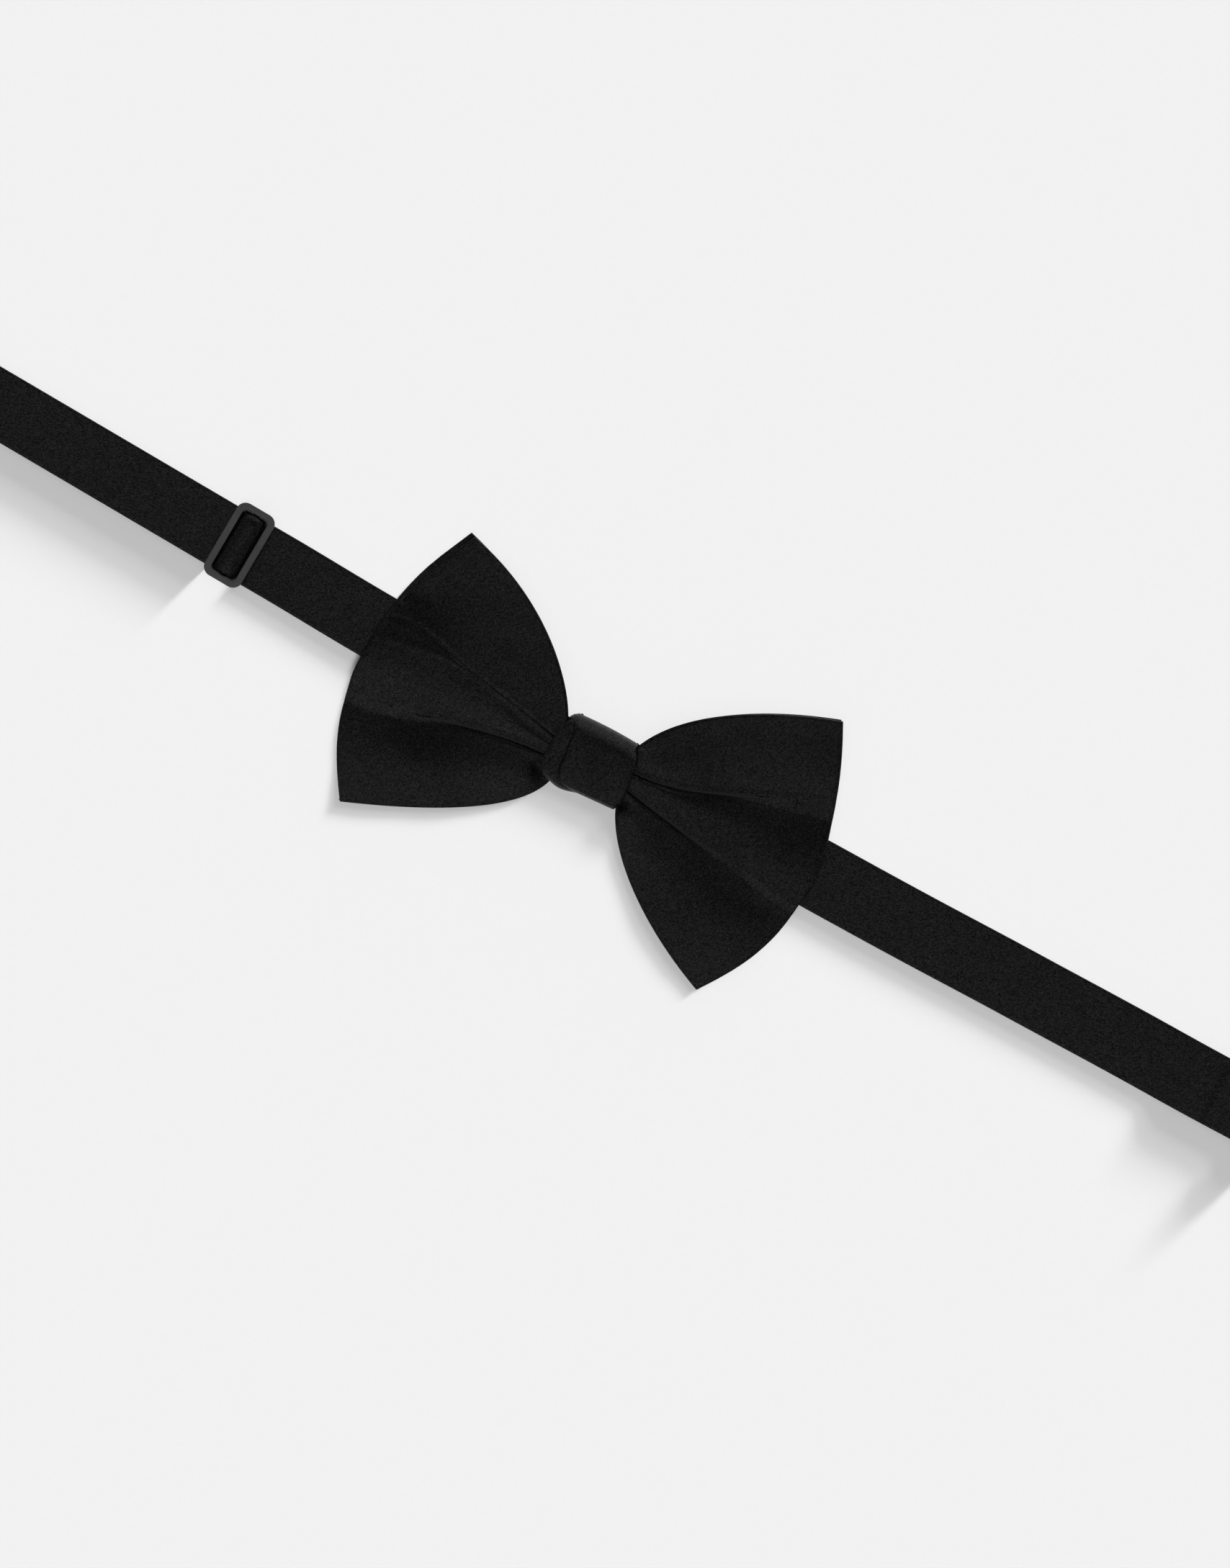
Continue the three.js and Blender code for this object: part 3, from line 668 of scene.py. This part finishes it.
RIGHT_LEVELS = {
    "low_rim": (4.4, 4.2, 4.1, 4.1, 4.3, 4.4, 3.6),
    "low_crest": (5.4, 5.2, 4.7, 4.4, 4.5, 4.7, 4.0),
    "low_foot": (5.5, 4.9, 4.1, 3.2, 3.2, 3.4, 2.9),
    "middle_low": (6.4, 5.8, 5.0, 4.2, 3.7, 3.9, 3.2),
    "middle": (6.4, 5.8, 5.0, 4.2, 3.6, 4.0, 3.4),
    "middle_rise": (6.35, 5.75, 4.9, 4.0, 3.35, 3.5, 3.0),
    "middle_high": (6.2, 5.45, 4.3, 3.15, 2.6, 2.6, 1.7),
    "high_foot": (6.6, 6.2, 5.3, 4.2, 3.4, 2.8, 2.3),
    "high_crest": (6.4, 6.7, 5.8, 4.8, 4.0, 3.4, 2.6),
    "high_rim": (6.2, 7.6, 6.7, 5.3, 4.3, 3.8, 2.9),
}
RIGHT_FOLDS = (
    (0.6, 0.7, 0.8, 0.9, 1.1, 1.4, 1.8),
    (1.0, 1.0, 0.95, 0.7, 0.4, 0.1, 0),
    (0.6, 0.7, 0.8, 0.9, 1.4, 2.1, 2.4),
    (1.0, 1.0, 0.95, 0.85, 0.5, 0.1, 0),
)


def untucked(folds):
    """The folds of a ply that lies flat under the doubled cloth, with no tuck of its own."""
    low_half, low_tuck, high_half, high_tuck = folds
    flat = (0,) * len(low_tuck)
    return (tuple(0.8 * h for h in low_half), flat, tuple(0.8 * h for h in high_half), flat)


def left_section(wing, u):
    return pleated_section(wing, u, LEFT_LEVELS, LEFT_FOLDS, False)


def right_section(wing, u):
    return pleated_section(wing, u, RIGHT_LEVELS, RIGHT_FOLDS, True)


def left_lining_section(wing, u):
    return pleated_section(wing, u, LEFT_LEVELS, untucked(LEFT_FOLDS), False)


def right_lining_section(wing, u):
    return pleated_section(wing, u, RIGHT_LEVELS, untucked(RIGHT_FOLDS), True)


EDGE_ROLL = 0.45
LOWEST = 0.24
ROW_STEPS = 3
COLUMNS = 60


def rolled_edges(points):
    """Turns both ends of a section down in a small quarter round."""
    for ends in ((0, 1), (-1, -2)):
        edge, inner = (points[i] for i in ends)
        inward = (inner - edge)
        inward.z = 0
        inward.normalize()
        roll = [
            edge + inward * (EDGE_ROLL * (1 - math.sin(a))) - UP * (EDGE_ROLL * (1 - math.cos(a)))
            for a in (math.radians(90), math.radians(60), math.radians(30))
        ]
        if ends[0] == 0:
            points[0:1] = [*roll, edge + inward * EDGE_ROLL]
        else:
            points[-1:] = [edge + inward * EDGE_ROLL, *reversed(roll)]
    return points


def rumple(point, strength):
    """Slow unevenness of pressed cloth, in millimetres."""
    slow = noise.noise(Vector((point.x / 15, point.y / 11, 3.1)))
    fine = noise.noise(Vector((point.x / 5, point.y / 5, 7.7)))
    return strength * (slow + 0.3 * fine)


def hollow(point, x, y, reach, depth):
    """How far a soft dent about (x, y) lowers a point."""
    away = ((point.x - x) ** 2 + (point.y - y) ** 2) / (reach * reach)
    return depth * math.exp(-away)


CREVICE_DEPTH = 0.45
CREVICE_OFFSET = 0.42
CREVICE_SPREAD = 0.16


def crevice(wing, point, u):
    """How far the pinched foot of a pleat lowers a point; it is deep by the knot and then fades."""
    depth = CREVICE_DEPTH * (1 - between(u, 0.1, 0.6))
    drop = 0
    for index, side in wing.crevices:
        off_line = (point.xy - wing.line(index, u).xy).dot(wing.across(index, u).xy)
        away = off_line - CREVICE_OFFSET * side
        drop += depth * math.exp(-away * away / CREVICE_SPREAD)
    return drop


def above_strap(point, clearance):
    """Lifts a point to lie on the strap beneath, with the given cloth in between."""
    splay = abs(point.x) * math.tan(SPLAY)
    half_width = (LEFT_WIDTH if point.x < 0 else RIGHT_WIDTH) / 2
    drop = between(abs(point.x), 14, 40)
    top = lerp(WAIST_Z, FLAT_Z, drop) + STRAP_THICKNESS / 2 + clearance
    lift = max(top - point.z, 0)
    return lift * (1 - between(abs(point.y - splay), half_width, half_width + 3))


def wing_columns(wing, section, places, clearance, dents):
    columns = []
    for u in places:
        rows = [Vector((p.x, p.y, z)) for p, z in section(wing, u)]
        points = spline(rows, ROW_STEPS)
        for point in points:
            point.z += rumple(point, 0.16 * between(u, 0.02, 0.2))
            point.z -= sum(hollow(point, *dent) for dent in dents) + crevice(wing, point, u)
            point.z += above_strap(point, clearance)
        columns.append(rolled_edges(points))
    return columns


LEFT_DENTS = ((-55, 13, 5, 0.5), (-8.8, -9.2, 3.3, 1.7))
RIGHT_DENTS = ((53.5, -12.5, 3, 0.3), (11.6, -7.3, 2.5, 1.1))


def end_roll(columns):
    """Adds columns that turn the outer end down in a small quarter round."""
    last = columns[-1]
    before = columns[-2]
    rolled = []
    for a in (30, 60, 90):
        angle = math.radians(a)
        column = []
        for point, inner in zip(last, before):
            outward = point - inner
            outward.z = 0
            outward.normalize()
            shift = outward * (EDGE_ROLL * math.sin(angle))
            column.append(point + shift - UP * (EDGE_ROLL * (1 - math.cos(angle))))
        rolled.append(column)
    return [*columns, *rolled]


def stations(count):
    """Places along a wing, closer together by the knot, that leave room for the rolled end."""
    return [0.993 * (i / (count - 1)) ** 1.15 for i in range(count)]


def blade_columns(wings, sections, clearance, count, dents=((), ())):
    left, right = (
        end_roll(wing_columns(wing, section, stations(count), clearance, hollows))
        for wing, section, hollows in zip(wings, sections, dents)
    )
    return [*reversed(left), *right]


def lowered(columns, drop, inset):
    """The same sheet, a little lower, with its outer rows and columns left out."""
    kept = columns[inset:len(columns) - inset]
    return [
        [Vector((p.x, p.y, max(p.z - drop, LOWEST))) for p in column[inset:len(column) - inset]]
        for column in kept
    ]


FRONT_CLEARANCE = 1.3
BACK_CLEARANCE = 0.6


def ply(name, columns, material, thickness):
    """One ply of a blade, which stands for the node of the same name."""
    piece = thicken(sheet_object(name + "_cloth", columns, material), thickness)
    return dress("bow", [name], piece)


def make_front_blade():
    wings = (left_wing(), right_wing())
    dents = (LEFT_DENTS, RIGHT_DENTS)
    sections = (left_section, right_section)
    lining_sections = (left_lining_section, right_lining_section)
    columns = blade_columns(wings, sections, FRONT_CLEARANCE, COLUMNS, dents)
    linings = blade_columns(wings, lining_sections, FRONT_CLEARANCE, COLUMNS, dents)
    face = ply("front_blade_face", columns, wing_satin, 0.22)
    middle = ply("front_blade_interlining", lowered(linings, 0.3, 4), interlining, 0.14)
    backing = ply("front_blade_backing", lowered(linings, 0.5, 1), wing_satin, 0.2)


def make_back_blade():
    def flat_section(wing, u):
        low_edge = (1.2, 1.4, 1.6, 1.7, 1.8, 1.8, 1.6)
        high_edge = (3.0, 2.0, 1.6, 1.6, 1.6, 1.5, 1.2)
        inside = (3.4, 3.2, 2.0, 1.5, 1.4, 1.3, 1.2)
        rows = []
        for index in range(3):
            for fraction in (0, 0.3, 0.6):
                edge = index == 0 and fraction == 0
                rows.append((wing.panel(index, fraction, u), along(low_edge if edge else inside, u)))
        rows.append((wing.panel(2, 1, u), along(high_edge, u)))
        return rows

    left = left_wing()
    left.end = ((-48.6, -40.8), (-59.5, -24.5), (-69.5, -0.2), (-52.9, 32.6))
    left.lines = (
        ((-5.8, -9), (-7.4, -19.6), (-25.3, -30.6), left.end[0]),
        (*left.lines[1][:3], end_point(left.end, LEFT_PLACES[0])),
        (*left.lines[2][:3], end_point(left.end, LEFT_PLACES[1])),
        ((-9, 2.3), (-14, 12.8), (-30, 27.2), left.end[3]),
    )
    right = right_wing()
    right.end = ((50.2, -37.6), (60.4, -21.6), (70.6, -2.5), (49, 37.2))
    right.lines = (
        ((10.8, -7.6), (15.4, -18.4), (31, -30.2), right.end[0]),
        (*right.lines[1][:3], end_point(right.end, RIGHT_PLACES[0])),
        (*right.lines[2][:3], end_point(right.end, RIGHT_PLACES[1])),
        ((8, 4.5), (12, 18), (28.6, 29.6), right.end[3]),
    )
    columns = blade_columns((left, right), (flat_section, flat_section), BACK_CLEARANCE, 30)
    face = ply("back_blade_face", columns, back_satin, 0.2)
    middle = ply("back_blade_interlining", lowered(columns, 0.24, 4), interlining, 0.12)
    backing = ply("back_blade_backing", lowered(columns, 0.4, 1), back_satin, 0.18)
    return backing


# ---- Knot ----

def rounded_loop(y, z, corners, arc_steps=9, side_steps=8):
    """Points round a box section with elliptical corners, anticlockwise seen from +X; corners are
    (reach along Y, reach along Z) for front top, front bottom, back bottom, back top."""
    centres = [
        (y[1] - corners[0][0], z[1] - corners[0][1]), (y[0] + corners[1][0], z[1] - corners[1][1]),
        (y[0] + corners[2][0], z[0] + corners[2][1]), (y[1] - corners[3][0], z[0] + corners[3][1]),
    ]
    arcs = []
    for number, ((cy, cz), (ry, rz)) in enumerate(zip(centres, corners)):
        arc = []
        for step in range(arc_steps + 1):
            angle = math.radians(90 * number + 90 * step / arc_steps)
            arc.append(Vector((0, cy + ry * math.cos(angle), cz + rz * math.sin(angle))))
        arcs.append(arc)
    points = []
    for number, arc in enumerate(arcs):
        points += arc
        following = arcs[(number + 1) % 4][0]
        points += [lerp(arc[-1], following, step / side_steps) for step in range(1, side_steps)]
    return points


def wrap_rings(loop, left_edge, right_edge, count, shape):
    """Rings across a wrap from its left to its right edge; both edges depend on the height y."""
    rings = []
    for i in range(count):
        s = i / (count - 1)
        ring = []
        for point in loop:
            x = lerp(left_edge(point), right_edge(point), s)
            ring.append(shape(Vector((x, point.y, point.z)), s))
        rings.append(ring)
    return rings


def turn_of_knot(name, rings, thickness):
    """A closed turn of the knot's band, which stands for the node of the same name."""
    vertices = [p for ring in rings for p in ring]
    faces = grid_faces(len(rings), len(rings[0]), wrap_rows=True)
    piece = thicken(mesh_object(name + "_cloth", vertices, faces, knot_satin), thickness)
    return dress("bow", [name], piece)


def make_knot():
    front = 9.7
    inner_right = 7.6
    centre = Vector((0, -1.8, front / 2))

    def outer_left(p):
        front_edge = through(
            [(-10.5, -0.6), (-10.2, -2.6), (-9.5, -4.1), (-8.4, -5.1), (-6.4, -5.8), (-4, -5.9), (-1.6, -6.4),
             (1, -6.7), (3, -7.0), (5.2, -8.2), (6.8, -8.5)], p.y)
        return lerp(-4.5, front_edge, between(p.z, 1, 5))

    def outer_right(p):
        front_edge = through(
            [(-9.8, 11.2), (-8.6, 11.9), (-6.6, 12), (-1.5, 11.4), (1.2, 10.7), (4.3, 10.1), (5.7, 9.2),
             (7.0, 8.7)], p.y)
        return lerp(10.5, front_edge, between(p.z, 1, 5))

    def outer_shape(p, s):
        hug = 0.08 * between(s, 0.8, 1) + 0.15 * (1 - between(s, 0, 0.12))
        if p.z > 4:
            p.z -= hug + 0.08 * math.sin(p.x * 0.5 + p.y * 0.3) + 0.0075 * (p.y + 4) ** 2
        if p.y < -2:
            p.y += 0.085 * (p.x - 1) * between(-p.y, 2, 9)
        else:
            p.y -= 0.0045 * (p.x - 4) ** 2 * between(p.y, 1, 6)
        toward = (centre - p)
        toward.x = 0
        edge = (1 - between(s, 0, 0.03)) + between(s, 0.97, 1)
        return p + toward.normalized() * (0.45 * edge)

    loop = rounded_loop((-10.5, 7.5), (0.05, front), ((4.7, 4.6), (1.2, 2.2), (1.6, 1.6), (1.6, 1.6)))
    rings = wrap_rings(loop, outer_left, outer_right, 34, outer_shape)
    wrap = turn_of_knot("knot_outer_wrap", rings, 0.6)

    def inner_left(p):
        front_edge = through(
            [(-11, -9.2), (-9.6, -10.2), (-3.9, -10.5), (1, -10.4), (3.3, -10.1), (5, -9.5)], p.y)
        return lerp(-9.5, front_edge, between(p.z, 1, 5))

    def inner_shape(p, s):
        sag = through([(-10.3, 0.9), (-6.1, 0.1), (-4.0, -0.3), (-1.8, -0.1), (1.4, 0.9), (4, 1.6)], p.x)
        if p.y < -6:
            p.y += sag * between(-p.y, 6, 10)
        if p.y > 1:
            p.y += 0.16 * min(p.x + 8.5, 0) * (p.y - 1)
        edge = 1 - between(s, 0, 0.04)
        toward = (centre - p)
        toward.x = 0
        under = 0.14 * between(p.x, -6.5, -3.5) * between(p.y, -9, -6)
        return p + toward.normalized() * (0.4 * edge) + toward * under

    inner_loop = rounded_loop((-11.3, 6.5), (1.0, 8.6), ((3.4, 3.6), (1.6, 2.4), (1.4, 1.4), (1.4, 1.4)))
    rings = wrap_rings(inner_loop, inner_left, lambda p: inner_right, 30, inner_shape)
    inner = turn_of_knot("knot_inner_wrap", rings, 0.5)

    pad_loop = rounded_loop((-9.2, 5.7), (4, front - 0.8), ((3.9, 4), (1.2, 2), (0.5, 0.5), (0.5, 0.5)))
    pad_face = [p for p in pad_loop if p.z > 6.5]
    columns = wrap_rings(pad_face, lambda p: -3.8, lambda p: 8.6, 16, outer_shape)
    pad = thicken(sheet_object("knot_pad_cloth", columns, interlining), 0.3)
    dress("bow", ["knot_interlining"], pad)


# ---- Straps ----

BAND_STEPS = 6


def band_section(width, thickness):
    """Half-round sides and a faintly crowned top, as (across, up) pairs."""
    half = width / 2 - thickness / 2
    top = []
    for i in range(15):
        across = half * math.sin(math.radians(90 - 180 * i / 14))
        top.append((across, thickness / 2 + 0.05 * (1 - (across / half) ** 2)))
    left = [
        (-half - thickness / 2 * math.sin(math.radians(a)), thickness / 2 * math.cos(math.radians(a)))
        for a in (36, 72, 108, 144)
    ]
    bottom = [(-across, -thickness / 2) for across, up in top]
    right = [(-across, -up) for across, up in left]
    return [*top, *left, *bottom, *right]


def band(name, route, width, thickness, material, place, wander=0.0):
    """A strap along an (x, z) route, its width along Y; width is a function of x."""
    points = spline([Vector((x, 0, z)) for x, z in route], BAND_STEPS)
    rings = []
    for i, point in enumerate(points):
        ahead = points[min(i + 1, len(points) - 1)] - points[max(i - 1, 0)]
        ahead.normalize()
        normal = Vector((-ahead.z, 0, ahead.x))
        shift = wander * noise.noise(Vector((point.x / 30, 2.3, 0.5)))
        rings.append([
            point + Vector((0, 1, 0)) * (across + shift) + normal * up
            for across, up in band_section(width(point.x), thickness)
        ])
    return solid_object(name, rings, material, place)


def waisted(width):
    return lambda x: lerp(WAIST_WIDTH, width, between(abs(x), 14, 26))


def stretch_route(start, end, step, z):
    count = max(2, round(abs(end - start) / step))
    return [(lerp(start, end, i / count), z) for i in range(count + 1)]


def ramp_route(side):
    return [(side * x, z) for x, z in (
        (0.3, WAIST_Z), (6, WAIST_Z), (12, WAIST_Z), (18, 2.15), (26, 1.45), (34, 0.75), (RAMP_END, FLAT_Z))]


def fold_route(side, bar_x):
    top = BAR_Z + FOLD_RADIUS
    turn = [
        (bar_x + FOLD_RADIUS * math.sin(math.radians(a)), BAR_Z + FOLD_RADIUS * math.cos(math.radians(a)))
        for a in range(30, 180, 30)
    ]
    route = [
        (bar_x - 9, UPPER_Z), (bar_x - 6.5, UPPER_Z + 0.15), (bar_x - 3, top - 0.35), (bar_x - 1, top),
        *turn, (bar_x - 1, FLAT_Z), (bar_x - 3, FLAT_Z), (bar_x - 9, FLAT_Z),
    ]
    return [(side * x, z) for x, z in route]


def make_straps():
    slider_edge = SLIDER_X - WEAVE_REACH
    left_waist = band(
        "left_strap_waist_satin", ramp_route(-1),
        waisted(NEAR_WIDTH), STRAP_THICKNESS, strap_satin, LEFT_PLACE)
    dress("bow", ["left_strap"], left_waist)
    left = band(
        "left_strap_satin", stretch_route(-RAMP_END, -slider_edge, 6, FLAT_Z),
        waisted(NEAR_WIDTH), STRAP_THICKNESS, strap_satin, LEFT_PLACE, wander=0.2)
    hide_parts("left_strap")
    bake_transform(left)

    right_waist = band(
        "right_strap_waist_satin", ramp_route(1),
        waisted(RIGHT_WIDTH), STRAP_THICKNESS, strap_satin, RIGHT_PLACE)
    dress("bow", ["right_strap"], right_waist)
    right = band(
        "right_strap_satin",
        [*stretch_route(RAMP_END, 158, 6, FLAT_Z), (161, FLAT_Z + 0.1), (167, UPPER_Z - 0.1),
         (170, UPPER_Z), *fold_route(1, EYE_BAR_X), (171, FLAT_Z)],
        waisted(RIGHT_WIDTH), STRAP_THICKNESS, strap_satin, RIGHT_PLACE, wander=0.25)
    dress("bow", ["right_strap"], right)

    start = -(SLIDER_X + WEAVE_REACH)
    route = [
        *stretch_route(start, -(HOOK_BAR_X - 15), 6, UPPER_Z),
        *fold_route(-1, HOOK_BAR_X),
        *stretch_route(-(HOOK_BAR_X - 15), start, 6, FLAT_Z),
    ]
    paired = band(
        "hook_side_strap_satin", route,
        lambda x: LEFT_WIDTH, STRAP_THICKNESS, strap_satin, LEFT_PLACE)
    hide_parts("hook_side_strap", "return_strap", "hook_fold")
    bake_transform(paired)
    return [left, right, paired]


# ---- Slide adjuster ----

def frame_ring(outer, inner, levels, edge, arc_steps=8):
    """Rings round a flat frame. outer and inner are (length, width, corner radius)."""
    def outline(length, width, radius):
        points = []
        for cx, cy, start in ((1, -1, 270), (1, 1, 0), (-1, 1, 90), (-1, -1, 180)):
            for step in range(arc_steps + 1):
                a = math.radians(start + 90 * step / arc_steps)
                points.append(Vector((
                    cx * (length / 2 - radius) + radius * math.cos(a),
                    cy * (width / 2 - radius) + radius * math.sin(a), 0)))
        return points

    low, high = levels
    rings = []
    for out, into in zip(outline(*outer), outline(*inner)):
        span = (out - into)
        width = span.length
        across = span.normalized()
        section = []
        for cx, cz, start in ((width - edge, high - edge, 90), (width - edge, low + edge, 0),
                              (edge, low + edge, -90), (edge, high - edge, -180)):
            for step in range(4):
                a = math.radians(start - 30 * step)
                section.append(into + across * (cx + edge * math.cos(a)) + UP * (cz + edge * math.sin(a)))
        rings.append(section)
    return rings


def arch_width(x):
    """The roll over the centre bar spreads to fill the window from end to end."""
    return LEFT_WIDTH + 1.4 * (1 - between(abs(x), 3.1, 3.9))


def tuck_arch_ends(arch, place):
    """Rounds the ends of the roll down so that they slip under the frame's end bars."""
    back = place.inverted()
    for vertex in arch.data.vertices:
        local = (back @ vertex.co) / MM
        squeeze = 1 - math.sqrt(max(1 - min(max(abs(local.y) - 6.6, 0) / 1.9, 1) ** 2, 0))
        if local.z > 1.3:
            local.z = lerp(local.z, 1.3 + (local.z - 1.3) * 0.27, squeeze)
        vertex.co = place @ (local * MM)


def make_slider():
    place = LEFT_PLACE @ Matrix.Translation(Vector((-SLIDER_X, 0, 0)) * MM)
    rings = frame_ring((10.4, 20.3, 2.5), (6.9, 17.2, 1.3), (2.3, 3.6), 0.22)
    body = solid_object("slider_frame_metal", rings, dark_metal, place, closed=True)
    bar_rings = []
    for y in (-9.3, -9.1, -8.7, -8.4, 8.4, 8.7, 9.1, 9.3):
        lift = 0.5 * between(abs(y), 8.4, 9.1)
        ring = []
        for i in range(16):
            a = math.radians(22.5 * i)
            flat = Vector((0.72 * math.copysign(abs(math.cos(a)) ** 0.6, math.cos(a)), y,
                           2.2 + lift + 0.46 * math.copysign(abs(math.sin(a)) ** 0.6, math.sin(a))))
            ring.append(flat)
        bar_rings.append(ring)
    bar = solid_object("slider_centre_bar_metal", bar_rings, dark_metal, place)
    dress("slider", ["slider_frame"], body)
    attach(bar, "slider")
    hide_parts("slider_frame")

    arch_route = [
        (-WEAVE_REACH, UPPER_Z), (-3.6, 1.45), (-3.2, 1.6), (-2.95, 2.0), (-2.6, 2.6), (-1.6, 3.3), (0, 3.65),
        (1.6, 3.2), (2.5, 2.5), (2.9, 1.8), (3.1, 1.2), (3.4, 0.7), (WEAVE_REACH, FLAT_Z)]
    arch = band("slider_strap_arch_satin", arch_route, arch_width, STRAP_THICKNESS, strap_satin, place)
    tuck_arch_ends(arch, place)
    dress("slider", ["slider_strap_arch"], arch)
    loop_route = [
        (-WEAVE_REACH, FLAT_Z), (-3.2, 0.5), (-2, 0.85), (-0.8, 1.17), (0.5, 1.2), (1.15, 1.55),
        (1.36, 2.2), (1.15, 2.85), (0.5, 3.2), (-0.7, 3.2), (-1.2, 3)]
    loop = band("slider_return_loop_satin", loop_route, lambda x: LEFT_WIDTH - 0.8, 0.7, strap_satin, place)
    dress("slider", ["slider_return_loop"], loop)


make_front_blade()
low_cloth = make_back_blade()
make_knot()
straps = make_straps()
make_slider()
only_on(ceiling, [floor], straps)
for light in strap_windows:
    only_on(light, [floor], straps)
for light in blade_windows:
    only_on(light, [floor], [low_cloth])

SEWN = ("waist_binding_thread", "knot_closing_stitches", "eye_fold_tack", "slider_loop_tack")
for material, names in ((thread, SEWN), (dark_metal, ("hook", "eye"))):
    for name in names:
        slots = frame["nodes"][name].data.materials
        slots.clear()
        slots.append(material)
